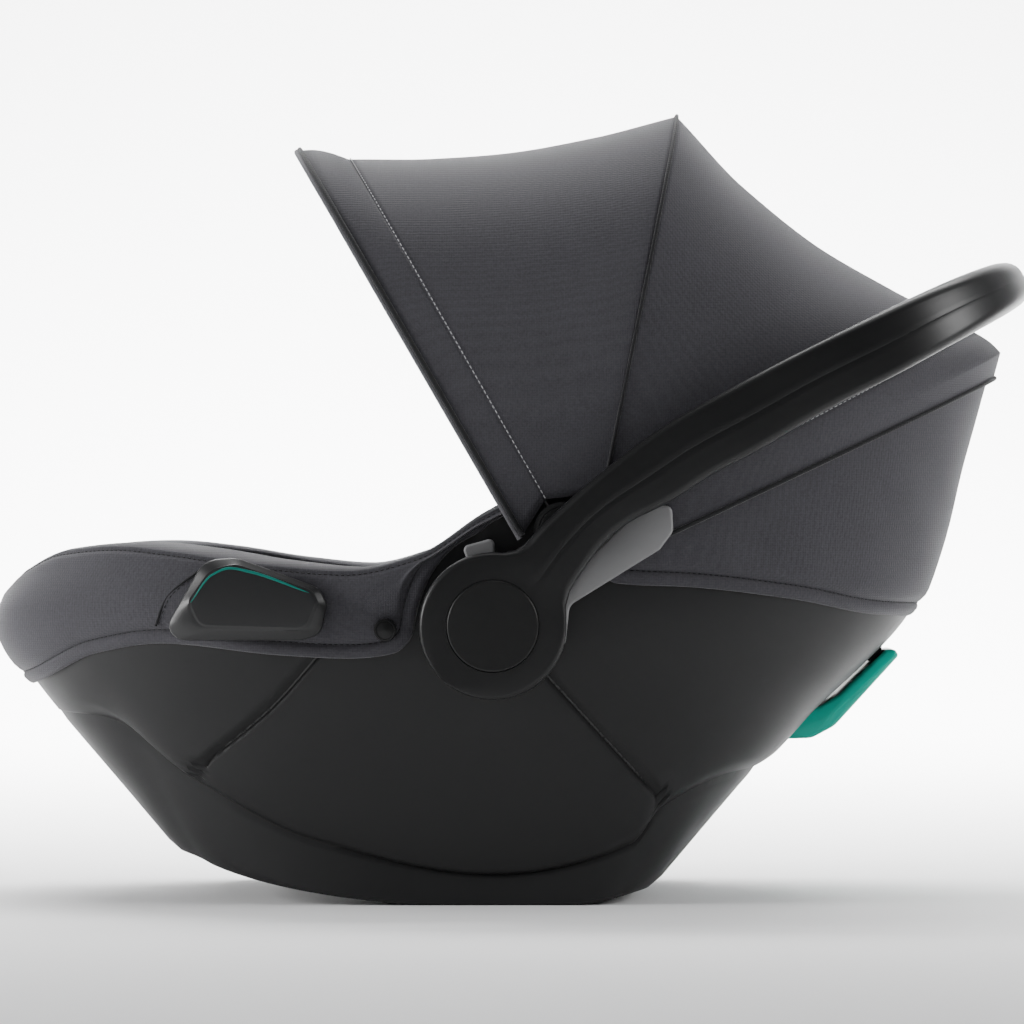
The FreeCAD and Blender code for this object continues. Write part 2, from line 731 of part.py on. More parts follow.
def bow(plane, rod_y, eye_y, eye_radius, start_radius):
    """Bent rod inside a seam of the canopy, with an eye round the pivot post at each end."""
    crown, power = plane[1:]
    toward = (V(crown[0], 0, crown[1]) - V(PIVOT_X, 0, PIVOT_Z)).normalize()
    inset = cell("fabric") + cell("bow_radius") + 1.0
    top = V(crown[0], 0, crown[1]) - toward * inset
    start = V(PIVOT_X, 0, PIVOT_Z) + toward * start_radius
    path = Part.BSplineCurve()
    path.interpolate(arch_points((start.x, start.z), (top.x, top.z), rod_y, power))
    wire = Part.Wire([path.toShape()])
    ring = Part.Wire([Part.makeCircle(cell("bow_radius"), wire.Vertexes[0].Point, toward)])
    rod = wire.makePipeShell([ring], True, False)
    eye = Part.makeCylinder(eye_radius, EYE_THICKNESS, V(PIVOT_X, -eye_y, PIVOT_Z), V(0, -1, 0))
    hole_radius = cell("pivot_post_radius") + 0.06
    hole = Part.makeCylinder(hole_radius, 8, V(PIVOT_X, -eye_y + 3, PIVOT_Z), V(0, -1, 0))
    return rod.fuse(left_and_right(eye).Solids).cut(left_and_right(hole))


FRONT_EYE, MID_EYE = (189.3, 188.5, 13.0, 12.0), (190.2, 190.7, 18.0, 16.0)
CANOPY = {
    "canopy_front_bow": bow(FRONT_BOW, *FRONT_EYE),
    "canopy_mid_bow": bow(MID_BOW, *MID_EYE),
    "canopy_visor": fabric_panel([
        FRONT_EDGE,
        between(FRONT_EDGE, FRONT_BOW, 0.5, -3),
        between(FRONT_EDGE, FRONT_BOW, 1 - SEAM_GAP),
    ]),
    "canopy_front_panel": fabric_panel(panel_sections(FRONT_BOW, MID_BOW, (7, 9.5, 7))),
    "canopy_rear_panel": fabric_panel(panel_sections(MID_BOW, REAR_STITCH, (12, 15, 10))),
    "canopy_rear_hem": fabric_panel([
        between(REAR_STITCH, REAR_CORNER, SEAM_GAP), REAR_CORNER, REAR_SEAM,
    ]),
}
for name, shape in CANOPY.items():
    keep(feature(name, shape), name)

# ----------------------------------------------------------------------------------------------
# Belt guides on the outside
# ----------------------------------------------------------------------------------------------
GUIDE_X, GUIDE_Y, GUIDE_Z, GUIDE_TURN = -168.0, -187.5, 195.0, -3.0
GUIDE_OUTLINE = [(-54, -26), (-20, 31), (52, 9), (46, -26)]
GUIDE_PLATE = 8.0


def lap_belt_guide():
    """Hook plate on the side for the vehicle's lap belt, standing on a foot below the belt gap."""
    plate = padded_body("GuidePlate", "XY_Plane", rounded(GUIDE_OUTLINE, [9, 15, 11, 9]), str(GUIDE_PLATE),
                        facing_left(GUIDE_X, GUIDE_Y, GUIDE_Z, GUIDE_TURN), soften=2.5)
    inner = [(x * 0.74 + 2, z * 0.72) for x, z in GUIDE_OUTLINE]
    pocket = padded_body("GuidePocket", "XY_Plane", rounded(inner, [6, 9, 7, 6]), "4",
                         facing_left(GUIDE_X, GUIDE_Y - 7.0, GUIDE_Z, GUIDE_TURN))
    x0, x1, z0, z1 = GUIDE_FOOT
    foot = DOC.addObject("Part::Box", "GuideFoot")
    foot.Length, foot.Width, foot.Height = x1 - x0, 40.0, z1 - z0
    foot.Placement.Base = V(x0, GUIDE_Y - 4.0, z0)
    foot_on_shell = boolean("Part::Cut", "GuideFootOnShell", foot, CLEAR_OF_SHELL)
    hollowed = boolean("Part::Cut", "GuideHollowed", plate, pocket)
    whole = boolean("Part::Fuse", "lap_belt_guide_left", hollowed, foot_on_shell)
    return keep(whole, "lap_belt_guide_left")


def guide_accent():
    """Coloured edge line that shows where the lap belt goes."""
    outline = [(-21.2, 6.6), (-12, 18.5), (32, 6.5), (32, 5.3), (-11, 15), (-19.6, 5.4)]
    geometry = rounded(outline, [0.3, 3, 0.3, 0.3, 3, 0.3])
    place = facing_left(GUIDE_X, GUIDE_Y - 7.3, GUIDE_Z, GUIDE_TURN)
    return keep(padded_body("belt_guide_accent_left", "XY_Plane", geometry, "0.9", place),
                "belt_guide_accent_left")


GUIDE = lap_belt_guide()
ACCENT = guide_accent()
mirror_right(GUIDE, "lap_belt_guide_right")
mirror_right(ACCENT, "belt_guide_accent_right")

HOOK_HALF_WIDTH = 34.0
HOOK_OUTLINE = [
    (172, 112), (180, 101), (198, 101.5), (212, 110), (254, 156), (252.5, 160.5), (246, 160),
    (214, 124.5), (196, 117), (182, 119),
]


def extruded(name, outline, radii, half_width):
    """A body extruded evenly across the middle plane from a side-view outline."""
    place = facing_left(0, half_width, 0)
    return padded_body(name, "XY_Plane", rounded(outline, radii), str(2 * half_width), place)


hook_blank = extruded("HookBlank", HOOK_OUTLINE, [1, 8, 12, 10, 2, 1.5, 3, 8, 6, 2], HOOK_HALF_WIDTH)
keep(boolean("Part::Cut", "rear_belt_hook", hook_blank, CLEAR_OF_SHELL), "rear_belt_hook")
catch_blank = extruded("CatchBlank", [(226, 158), (235.6, 151.6), (243.4, 159), (243.6, 166.5), (236, 172)],
                       [0.5, 0.8, 1, 1, 0.5], 9.0)
keep(boolean("Part::Cut", "belt_hook_catch", catch_blank, CLEAR_OF_SHELL), "belt_hook_catch")

CLEAR_OF_COVER = feature("CoverClearance", bucket(cell("cover_thickness") + 0.2))
stud_blank = disc("StudBlank", "stud_radius", "12", "181")
stud_blank.setExpression("Placement.Base.x", None)
stud_blank.setExpression("Placement.Base.z", None)
stud_blank.Placement.Base = V(-79.5, -181, 176)
STUD = keep(boolean("Part::Cut", "cover_stud_left", stud_blank, CLEAR_OF_COVER), "cover_stud_left")
mirror_right(STUD, "cover_stud_right")

# ----------------------------------------------------------------------------------------------
# Docking bars under the seat, for a vehicle base or a pushchair
# ----------------------------------------------------------------------------------------------
BARS = {"front_docking_bar": (-112.0, 44.0), "rear_docking_bar": (74.0, 34.0)}
BRACKET_Y = 100.0
brackets, screws = [], []
for bar_name, (bar_x, bar_z) in BARS.items():
    bar = DOC.addObject("Part::Cylinder", bar_name)
    bind(bar, Radius="bar_radius", Height="bar_length")
    bar.Placement = FreeCAD.Placement(V(bar_x, cell("bar_length") / 2, bar_z), ALONG_MINUS_Y)
    keep(bar, bar_name)
    for side in (-1, 1):
        width, low = cell("bracket_width"), bar_z - 9.0
        block = Part.makeBox(26, width, 60, V(bar_x - 13, side * BRACKET_Y - width / 2, low))
        under_pan = block.common(below(SEAT_LINE, pan_bottom - 0.3))
        hole = Part.makeCylinder(cell("bar_radius"), 40, V(bar_x, side * BRACKET_Y - 20, bar_z), V(0, 1, 0))
        screw_foot = V(bar_x - 9, side * BRACKET_Y, low)
        shank = Part.makeCylinder(cell("screw_radius"), 6, screw_foot, V(0, 0, 1))
        head = Part.makeCylinder(2 * cell("screw_radius"), 1.8, screw_foot, V(0, 0, -1))
        brackets.append(under_pan.cut(hole).cut(shank))
        screws.append(head.fuse(shank))
keep(feature("docking_bar_brackets", Part.makeCompound(brackets)), "docking_bar_brackets")
keep(feature("bracket_screws", Part.makeCompound(screws)), "bracket_screws")

# ----------------------------------------------------------------------------------------------
# Inside: newborn insert, harness, headrest
# ----------------------------------------------------------------------------------------------


def strip(points, thickness, half_width, centre_y=0.0, splay=0.0):
    """A flat strip that follows side-view points, thick towards the child; splay turns it about Z."""
    up = [(x, z + thickness) for x, z in points]
    edges = [spline(points), spline(up)] + lines([points[-1], up[-1]]) + lines([up[0], points[0]])
    solid = across(edges, centre_y - half_width, centre_y + half_width)
    if splay:
        solid.rotate(V(points[-1][0], centre_y, 0), V(0, 0, 1), splay)
    return solid


def raised(points, lift):
    """Side-view points lifted by one height."""
    return [(x, z + lift) for x, z in points]


INSERT_THICKNESS, INSERT_HALF_WIDTH = 12.0, 96.0
insert_layer = above(SEAT_LINE, gap).common(below(SEAT_LINE, gap + INSERT_THICKNESS))
insert_room = Part.makeBox(260, 2 * INSERT_HALF_WIDTH, 2 * FAR, V(-110, -INSERT_HALF_WIDTH, 0))
keep(feature("newborn_insert", insert_layer.common(insert_room)), "newborn_insert")

STRAP_LINE = [(47, 103), (60, 107), (75, 116), (110, 151), (128, 165), (141, 164)]
PAD_LINE = [(56, 106), (82, 127), (104, 148), (119, 161)]
STRAP_Y, PAD_Y = 36.0, 39.0
SPLAY = 9.5  # degrees by which each strap turns outwards towards the shoulder
for side_name, side in (("left", -1), ("right", 1)):
    strap = strip(raised(STRAP_LINE, 3.0), cell("strap_thickness") * 1.3, cell("strap_width") / 2,
                  side * STRAP_Y, side * SPLAY)
    pad_shape = strip(raised(PAD_LINE, 6.6), cell("pad_thickness"), cell("pad_width") / 2,
                      side * PAD_Y, side * SPLAY)
    keep(feature("shoulder_strap_" + side_name, strap), "shoulder_strap_" + side_name)
    keep(feature("shoulder_pad_" + side_name, pad_shape), "shoulder_pad_" + side_name)

BUCKLE = FreeCAD.Placement(V(-14, 0, 92), FreeCAD.Rotation(V(0, 1, 0), 62))


def buckle_box(name, length, width, height, x, z, radius):
    """A rounded box in the buckle's own frame: X is its thickness and Z its length."""
    box = DOC.addObject("Part::Box", name + "Box")
    bind(box, Length=length, Width=width, Height=height)
    DOC.recompute()
    box.Placement = BUCKLE.multiply(FreeCAD.Placement(V(x, -float(box.Width) / 2, z), FreeCAD.Rotation()))
    soft = DOC.addObject("Part::Fillet", name)
    soft.Base = box
    soft.Edges = [(i, radius, radius) for i in range(1, 13)]
    return soft


housing = buckle_box("BuckleSoft", "buckle_depth", "buckle_width", "buckle_height", 0, 0, 3.0)
room_side = "buckle_button_side + 0.8"
button_room = buckle_box("ButtonRoom", "10.2", room_side, room_side, -4, 15.6, 1.0)
tongue_room = DOC.addObject("Part::Box", "TongueRoom")
tongue_room.Length, tongue_room.Width, tongue_room.Height = 4.4, 30.0, 24.0
tongue_room.Placement = BUCKLE.multiply(FreeCAD.Placement(V(7, -15, 40), FreeCAD.Rotation()))
step = boolean("Part::Cut", "BuckleWithButton", housing, button_room)
keep(boolean("Part::Cut", "buckle_housing", step, tongue_room), "buckle_housing")
red_button = buckle_box("buckle_button", "4.4", "buckle_button_side", "buckle_button_side", -1, 16, 0.8)
keep(red_button, "buckle_button")
tongues = []
for side in (-1, 1):
    blade = Part.makeBox(2.4, 10, 18, V(8, side * 7.2 - 5, 42))
    plate = Part.makeBox(3.4, 14, 14, V(7.5, side * 7.6 - 7, 60))
    tongues.append(blade.fuse(plate))
tongue_shape = Part.makeCompound(tongues)
tongue_shape.Placement = BUCKLE
keep(feature("buckle_tongues", tongue_shape), "buckle_tongues")

CROTCH_LINE = [(-56, 92), (-40, 88), (-22, 86.6)]
keep(feature("crotch_strap", strip(CROTCH_LINE, 2.0, 15.0)), "crotch_strap")
keep(feature("crotch_pad", strip([(-54, 95), (-38, 91), (-25, 89.4)], 5.0, 22.0)), "crotch_pad")

ADJUSTER = FreeCAD.Placement(V(-222, 0, 161.8), FreeCAD.Rotation(V(0, 1, 0), 32))


def adjuster_box(name, length, width, height, x, z, radius):
    """A rounded box lying on the front slope of the seat."""
    box = DOC.addObject("Part::Box", name + "Box")
    box.Length, box.Width, box.Height = length, width, height
    box.Placement = ADJUSTER.multiply(FreeCAD.Placement(V(x, -width / 2, z), FreeCAD.Rotation()))
    soft = DOC.addObject("Part::Fillet", name)
    soft.Base = box
    soft.Edges = [(i, radius, radius) for i in range(1, 13)]
    return soft


adjuster_blank = adjuster_box("AdjusterBlank", 46, 34, 7, -23, 1.2, 2.5)
adjuster_room = adjuster_box("AdjusterRoom", 26.8, 20.8, 8, -15.4, 3.6, 2.0)
keep(boolean("Part::Cut", "adjuster_housing", adjuster_blank, adjuster_room), "adjuster_housing")
keep(adjuster_box("adjuster_button", 26, 20, 5, -15, 6.0, 1.8), "adjuster_button")

# headrest: a curved board with a pad, on the backrest
BACK_ANGLE = 45.0
HEADREST = FreeCAD.Placement(V(148, 0, 160.5), FreeCAD.Rotation(V(0, 1, 0), 90 - BACK_ANGLE))


def headrest_section(width_low, width_high, low, high, lift_low, lift_high, wing):
    """A U-shaped slab in the headrest's own frame: Z runs up the backrest, -X is towards the child."""
    wires = []
    tip_inset = 0.6 * (lift_high - lift_low)
    middle = ((low + high) / 2, (width_low + width_high) / 2 + 3)
    for z, half in ((low, width_low), middle, (high, width_high)):
        outer = [V(-lift_low - wing, -half, z), V(-lift_low, -half * 0.62, z), V(-lift_low, 0, z),
                 V(-lift_low, half * 0.62, z), V(-lift_low - wing, half, z)]
        inner = [V(-lift_high - wing, -half + tip_inset, z), V(-lift_high, -half * 0.56, z),
                 V(-lift_high, 0, z), V(-lift_high, half * 0.56, z),
                 V(-lift_high - wing, half - tip_inset, z)]
        a, b = Part.BSplineCurve(), Part.BSplineCurve()
        a.interpolate(outer)
        b.interpolate(inner)
        ends = [Part.makeLine(outer[0], inner[0]), Part.makeLine(inner[-1], outer[-1])]
        wires.append(Part.Wire(Part.__sortEdges__([a.toShape(), b.toShape()] + ends)))
    shape = Part.makeLoft(wires, True, False)
    shape.Placement = HEADREST
    return shape


length = cell("headrest_length")
board_back, wing = 8.0, 22.0
board_face = board_back + cell("headrest_board")
pad_back = board_face + 0.6
pad_face = pad_back + cell("headrest_pad")
board_shape = headrest_section(88, 60, 10, length - 12, board_back, board_face, wing)
pad_shape = headrest_section(84, 56, 8, length - 9, pad_back, pad_face, wing)
keep(feature("headrest_board", board_shape), "headrest_board")
keep(feature("headrest_pad", pad_shape), "headrest_pad")
headrest_grip = Part.makeBox(3.0, 44, 20, V(-board_face, -22, length - 6))
headrest_grip = headrest_grip.makeFillet(1.2, headrest_grip.Edges)
headrest_grip.Placement = HEADREST
keep(feature("headrest_grip", headrest_grip), "headrest_grip")

# ----------------------------------------------------------------------------------------------
# Check and export
# ----------------------------------------------------------------------------------------------
DOC.recompute()
for obj in DOC.Objects:
    if "Invalid" in obj.State or "Error" in obj.State:
        raise RuntimeError(f"{obj.Label} failed to recompute: {obj.State}")
os.makedirs("parts", exist_ok=True)
for stale in os.listdir("parts"):
    os.remove(os.path.join("parts", stale))
for obj in EXPORTS:
    shape = obj.Shape
    if shape.isNull() or not shape.isValid() or not shape.Solids:
        raise RuntimeError(f"{obj.Label} has no valid solid")
    shape.exportStep(os.path.join("parts", obj.Label + ".step"))
    box = shape.BoundBox
    print(f"{obj.Label:26s} {len(shape.Solids)} solid(s)  x {box.XMin:7.1f} {box.XMax:7.1f}"
          f"  y {box.YMin:7.1f} {box.YMax:7.1f}  z {box.ZMin:6.1f} {box.ZMax:6.1f}"
          f"  {shape.Volume / 1000:8.1f} cm3")
print(len(EXPORTS), "sub-parts")
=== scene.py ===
"""Looks of the infant car seat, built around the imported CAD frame.

Lengths are in millimetres until add() turns them into metres.  +X is the head end, -Y the near
side, and every right-hand piece is the mirror image of its left-hand twin.
"""

import json
import math

import bpy
import numpy as np
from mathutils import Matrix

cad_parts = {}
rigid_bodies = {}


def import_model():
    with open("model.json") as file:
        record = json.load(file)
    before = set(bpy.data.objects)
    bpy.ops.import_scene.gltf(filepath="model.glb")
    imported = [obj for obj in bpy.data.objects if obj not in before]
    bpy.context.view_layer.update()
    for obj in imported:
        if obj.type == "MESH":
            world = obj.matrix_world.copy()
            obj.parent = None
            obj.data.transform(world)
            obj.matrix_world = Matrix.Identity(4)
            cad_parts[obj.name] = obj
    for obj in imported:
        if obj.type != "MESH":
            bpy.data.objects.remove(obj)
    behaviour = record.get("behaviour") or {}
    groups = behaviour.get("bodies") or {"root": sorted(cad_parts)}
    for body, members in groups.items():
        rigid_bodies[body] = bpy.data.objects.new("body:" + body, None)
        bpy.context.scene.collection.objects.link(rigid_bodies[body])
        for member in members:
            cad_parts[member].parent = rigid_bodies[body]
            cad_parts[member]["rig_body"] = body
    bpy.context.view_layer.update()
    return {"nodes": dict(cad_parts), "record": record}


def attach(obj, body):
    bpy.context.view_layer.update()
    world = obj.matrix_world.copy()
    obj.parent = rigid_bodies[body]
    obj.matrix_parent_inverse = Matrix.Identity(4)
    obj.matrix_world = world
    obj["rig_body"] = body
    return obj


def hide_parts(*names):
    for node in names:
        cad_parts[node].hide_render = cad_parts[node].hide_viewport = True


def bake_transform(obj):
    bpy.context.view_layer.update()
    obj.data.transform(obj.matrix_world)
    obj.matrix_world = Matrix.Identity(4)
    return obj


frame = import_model()
MM = 0.001

# ----------------------------------------------------------------------------------------------
# Camera, light and floor
# ----------------------------------------------------------------------------------------------
lens = bpy.data.cameras.new("camera")
lens.lens = 200
lens.sensor_width = 36
camera = bpy.data.objects.new("camera", lens)
camera.location = (0, -3.755, 0.250)
camera.rotation_euler = (math.pi / 2, 0, 0)
bpy.context.scene.collection.objects.link(camera)
bpy.context.scene.camera = camera


def soft_light(name, place, target, size, watts, spread=180):
    """A square area light that looks at a target."""
    data = bpy.data.lights.new(name, "AREA")
    data.size = size
    data.energy = watts
    data.spread = math.radians(spread)
    light = bpy.data.objects.new(name, data)
    light.location = place
    away = np.array(place, float) - np.array(target, float)
    flat = math.hypot(away[0], away[1])
    light.rotation_euler = (math.atan2(flat, away[2]), 0, math.atan2(away[0], -away[1]))
    bpy.context.scene.collection.objects.link(light)


soft_light("top_light", (0.2, -0.2, 2.8), (0, 0, 0.2), 2.0, 24)
soft_light("key_light", (-2.2, -2.6, 1.6), (-0.05, 0, 0.25), 1.0, 8)
soft_light("foot_light", (-2.8, -0.7, 0.9), (-0.2, 0, 0.2), 1.0, 84)
soft_light("head_light", (2.6, -0.6, 1.3), (0.2, 0, 0.3), 1.0, 50)
soft_light("floor_light", (0, 2.6, 3.0), (0, 3.0, 0.2), 3.5, 620, 100)

world = bpy.data.worlds.new("studio")
bpy.context.scene.world = world
world.use_nodes = True
world.node_tree.nodes["Background"].inputs["Color"].default_value = (0.9, 0.93, 1.0, 1)
world.node_tree.nodes["Background"].inputs["Strength"].default_value = 0.15

# ----------------------------------------------------------------------------------------------
# Materials
# ----------------------------------------------------------------------------------------------


class Shader:
    """A small helper that wires one material's nodes."""

    def __init__(self, name):
        self.material = bpy.data.materials.new(name)
        self.material.use_nodes = True
        self.tree = self.material.node_tree
        self.main = self.tree.nodes["Principled BSDF"]
        self.place = self.node("ShaderNodeTexCoord").outputs["Object"]

    def node(self, kind, **values):
        node = self.tree.nodes.new(kind)
        for key, value in values.items():
            setattr(node, key, value)
        return node

    def link(self, source, target):
        if isinstance(source, bpy.types.NodeSocket):
            self.tree.links.new(source, target)
        else:
            target.default_value = source

    def maths(self, operation, a, b=0.0):
        node = self.node("ShaderNodeMath", operation=operation)
        self.link(a, node.inputs[0])
        self.link(b, node.inputs[1])
        return node.outputs[0]

    def noise(self, size, detail=2.0, stretch=(1, 1, 1)):
        """Noise whose blobs are about size metres across."""
        grow = self.node("ShaderNodeVectorMath", operation="MULTIPLY")
        self.link(self.place, grow.inputs[0])
        grow.inputs[1].default_value = stretch
        node = self.node("ShaderNodeTexNoise")
        self.link(grow.outputs[0], node.inputs["Vector"])
        node.inputs["Scale"].default_value = 1.0 / size
        node.inputs["Detail"].default_value = detail
        return node.outputs["Fac"]

    def weave(self, pitch, wobble=0.7):
        """Threads that cross, as the sum of three sines along the axes."""
        bend = self.node("ShaderNodeTexNoise")
        self.link(self.place, bend.inputs["Vector"])
        bend.inputs["Scale"].default_value = 0.12 / pitch
        shift = self.node("ShaderNodeVectorMath", operation="MULTIPLY_ADD")
        self.link(bend.outputs["Color"], shift.inputs[0])
        shift.inputs[1].default_value = (wobble * pitch,) * 3
        self.link(self.place, shift.inputs[2])
        grow = self.node("ShaderNodeVectorMath", operation="SCALE")
        self.link(shift.outputs[0], grow.inputs[0])
        grow.inputs["Scale"].default_value = 2 * math.pi / pitch
        wave = self.node("ShaderNodeVectorMath", operation="SINE")
        self.link(grow.outputs[0], wave.inputs[0])
        total = self.node("ShaderNodeVectorMath", operation="DOT_PRODUCT")
        self.link(wave.outputs[0], total.inputs[0])
        total.inputs[1].default_value = (0.33, 0.33, 0.33)
        return total.outputs["Value"]

    def ramp(self, value, low, high):
        """Value from 0 to 1 turned into a shade between two colours."""
        node = self.node("ShaderNodeMix", data_type="RGBA")
        self.link(value, node.inputs["Factor"])
        node.inputs["A"].default_value = (*low, 1)
        node.inputs["B"].default_value = (*high, 1)
        return node.outputs["Result"]

    def bump(self, height, distance, strength=1.0, below=None):
        node = self.node("ShaderNodeBump")
        self.link(height, node.inputs["Height"])
        node.inputs["Distance"].default_value = distance
        node.inputs["Strength"].default_value = strength
        if below is not None:
            self.link(below, node.inputs["Normal"])
        return node.outputs["Normal"]

    def finish(self, colour, rough, normal=None):
        self.link(colour, self.main.inputs["Base Color"])
        self.link(rough, self.main.inputs["Roughness"])
        if normal is not None:
            self.link(normal, self.main.inputs["Normal"])
        return self.material


def shade(colour, share):
    """A colour made lighter or darker."""
    return tuple(min(c * share, 1.0) for c in colour)


def fabric(name, colour, pitch=0.0015, spread=0.24, sheen=0.2, depth=0.0001):
    """Woven melange cloth: crossing threads, flecks of lighter yarn, slow shade changes."""
    s = Shader(name)
    threads = s.weave(pitch)
    flecks = s.noise(pitch * 0.9, 3.0)
    cloudy = s.noise(0.03, 2.0)
    tone = s.maths("ADD", s.maths("MULTIPLY", flecks, 0.75), s.maths("MULTIPLY", cloudy, 0.25))
    tone = s.maths("ADD", tone, s.maths("MULTIPLY", threads, 0.12))
    paint = s.ramp(tone, shade(colour, 1 - 2 * spread), shade(colour, 1 + 2 * spread))
    height = s.maths("ADD", threads, s.maths("MULTIPLY", flecks, 0.8))
    rough = s.maths("ADD", s.maths("MULTIPLY", cloudy, 0.12), 0.80)
    s.main.inputs["Sheen Weight"].default_value = sheen
    s.main.inputs["Sheen Roughness"].default_value = 0.45
    s.main.inputs["Specular IOR Level"].default_value = 0.25
    return s.finish(paint, rough, s.bump(height, depth, 0.8))


def plastic(name, colour, rough=0.42, grain=0.0006, depth=0.00003, spread=0.08, gloss=0.5, coat=0.0):
    """Moulded plastic: fine grain, faint flow marks, and a few scuffs that change the gloss."""
    s = Shader(name)
    fine = s.noise(grain, 2.0)
    flow = s.noise(0.05, 3.0, (1, 1, 2.5))
    scuffs = s.noise(0.004, 4.0, (1, 1, 6))
    worn = s.node("ShaderNodeMapRange")
    s.link(scuffs, worn.inputs["Value"])
    worn.inputs["From Min"].default_value = 0.62
    worn.inputs["From Max"].default_value = 0.78
    paint = s.ramp(flow, shade(colour, 1 - spread), shade(colour, 1 + spread))
    shine = s.maths("ADD", s.maths("MULTIPLY", flow, 0.10), rough - 0.05)
    shine = s.maths("ADD", shine, s.maths("MULTIPLY", worn.outputs[0], 0.05))
    s.main.inputs["Specular IOR Level"].default_value = gloss
    s.main.inputs["Coat Weight"].default_value = coat
    s.main.inputs["Coat Roughness"].default_value = 0.12
    return s.finish(paint, shine, s.bump(fine, depth, 0.7))


def metal(name, colour, rough):
    """Plated or cast metal with drawn scratches."""
    s = Shader(name)
    lines = s.noise(0.0008, 3.0, (1, 0.05, 1))
    paint = s.ramp(s.noise(0.02), shade(colour, 0.88), shade(colour, 1.1))
    s.main.inputs["Metallic"].default_value = 1.0
    shine = s.maths("ADD", s.maths("MULTIPLY", lines, 0.2), rough)
    return s.finish(paint, shine, s.bump(lines, 0.00002, 0.5))


def foam_look(name, colour):
    """Expanded beads, each painted lighter in its middle and darker towards its edge: painted shade
    between the beads.
    """
    s = Shader(name)
    beads = s.node("ShaderNodeTexVoronoi")
    s.link(s.place, beads.inputs["Vector"])
    beads.inputs["Scale"].default_value = 280
    # painted shade: lighter bead middles, darker rims where the beads meet
    paint = s.ramp(beads.outputs["Distance"], shade(colour, 1.2), shade(colour, 0.6))
    return s.finish(paint, 0.8, s.bump(beads.outputs["Distance"], 0.0006))


GREY = (0.046, 0.0445, 0.051)
look = {
    "shell_plastic": plastic("shell_plastic", (0.009, 0.009, 0.0094), 0.52, gloss=0.3),
    "handle_plastic": plastic("handle_plastic", (0.006, 0.006, 0.0062), 0.38, grain=0.0004, gloss=0.32),
    "cap_plastic": plastic("cap_plastic", (0.006, 0.006, 0.006), 0.40, gloss=0.3),
    "guide_plastic": plastic("guide_plastic", (0.014, 0.014, 0.0145), 0.36, gloss=0.42),
    "inner_plastic": plastic("inner_plastic", (0.020, 0.020, 0.021), 0.45),
    "grey_plastic": plastic("grey_plastic", (0.17, 0.17, 0.172), 0.45, gloss=0.4),
    "green_plastic": plastic("green_plastic", (0.0, 0.36, 0.27), 0.3, gloss=0.25),
    "accent_line": plastic("accent_line", (0.0, 0.15, 0.12), 0.35, gloss=0.2),
    "red_plastic": plastic("red_plastic", (0.42, 0.015, 0.012), 0.3, coat=0.3),
    "bow_plastic": plastic("bow_plastic", (0.015, 0.015, 0.015), 0.4),
    "grey_fabric": fabric("grey_fabric", GREY),
    "lining_fabric": fabric("lining_fabric", (0.034, 0.033, 0.037), pitch=0.0016),
    "webbing": fabric("webbing", (0.016, 0.016, 0.017), pitch=0.0022, spread=0.15, depth=0.0004),
    "foam": foam_look("foam", (0.03, 0.03, 0.03)),
    "steel": metal("steel", (0.55, 0.55, 0.56), 0.28),
    "gear_metal": metal("gear_metal", (0.6, 0.6, 0.6), 0.35),
}
dark_fabric = fabric("dark_fabric", (0.010, 0.010, 0.011), spread=0.15)
inner_fabric = fabric("inner_fabric", (0.085, 0.083, 0.09), pitch=0.0013)
# painted shade: a darker copy of the green plastic, for the hook's inner face that lies in shadow
painted_shade_green = plastic("painted_shade_green", (0.0, 0.035, 0.026), 0.4, gloss=0.3)
dark_thread = fabric("dark_thread", (0.006, 0.006, 0.007), pitch=0.0005)
light_thread = fabric("light_thread", (0.34, 0.34, 0.35), pitch=0.0005)

slot_of = {row["node"]: row["material_slot"] for row in frame["record"]["subparts"]}
for node, carried in frame["nodes"].items():
    carried.data.materials.clear()
    carried.data.materials.append(look[slot_of[node]])

# ----------------------------------------------------------------------------------------------
# Curves and meshes
# ----------------------------------------------------------------------------------------------


def cubic(knots, values, x):
    """Natural cubic spline through the values at the knots; values may have several columns."""
    k, v = np.asarray(knots, float), np.asarray(values, float)
    h, n = np.diff(k), len(k)
    a, b = np.zeros((n, n)), np.zeros(v.shape)
    a[0, 0] = a[-1, -1] = 1
    for i in range(1, n - 1):
        a[i, i - 1:i + 2] = h[i - 1], 2 * (h[i - 1] + h[i]), h[i]
        b[i] = 6 * ((v[i + 1] - v[i]) / h[i] - (v[i] - v[i - 1]) / h[i - 1])
    m = np.linalg.solve(a, b)
    x = np.asarray(x, float)
    i = np.clip(np.searchsorted(k, x) - 1, 0, n - 2)
    t, s, w = x - k[i], k[i + 1] - x, h[i]
    if v.ndim > 1:
        t, s, w = t[..., None], s[..., None], w[..., None]
    edge = (m[i] * s**3 + m[i + 1] * t**3) / (6 * w)
    return edge + (v[i] / w - m[i] * w / 6) * s + (v[i + 1] / w - m[i + 1] * w / 6) * t


def smooth(points, x):
    """Height of a side-view line at x: a smooth curve that never overshoots its points."""
    p = np.asarray(points, float)
    k, v = p[:, 0], p[:, 1]
    h, d = np.diff(k), np.diff(v) / np.diff(k)
    slope = np.zeros(len(k))
    slope[0], slope[-1] = d[0], d[-1]
    for i in range(1, len(k) - 1):
        if d[i - 1] * d[i] > 0:
            w1, w2 = 2 * h[i] + h[i - 1], h[i] + 2 * h[i - 1]
            slope[i] = (w1 + w2) / (w1 / d[i - 1] + w2 / d[i])
    x = np.clip(np.asarray(x, float), k[0], k[-1])
    i = np.clip(np.searchsorted(k, x) - 1, 0, len(k) - 2)
    t = (x - k[i]) / h[i]
    start, end = v[i] * (2 * t**3 - 3 * t**2 + 1), v[i + 1] * (3 * t**2 - 2 * t**3)
    return start + end + h[i] * (slope[i] * (t**3 - 2 * t**2 + t) + slope[i + 1] * (t**3 - t**2))


def step(x, start, end):
    """0 before start, 1 after end, smooth between."""
    t = np.clip((np.asarray(x, float) - start) / (end - start), 0, 1)
    return t * t * (3 - 2 * t)


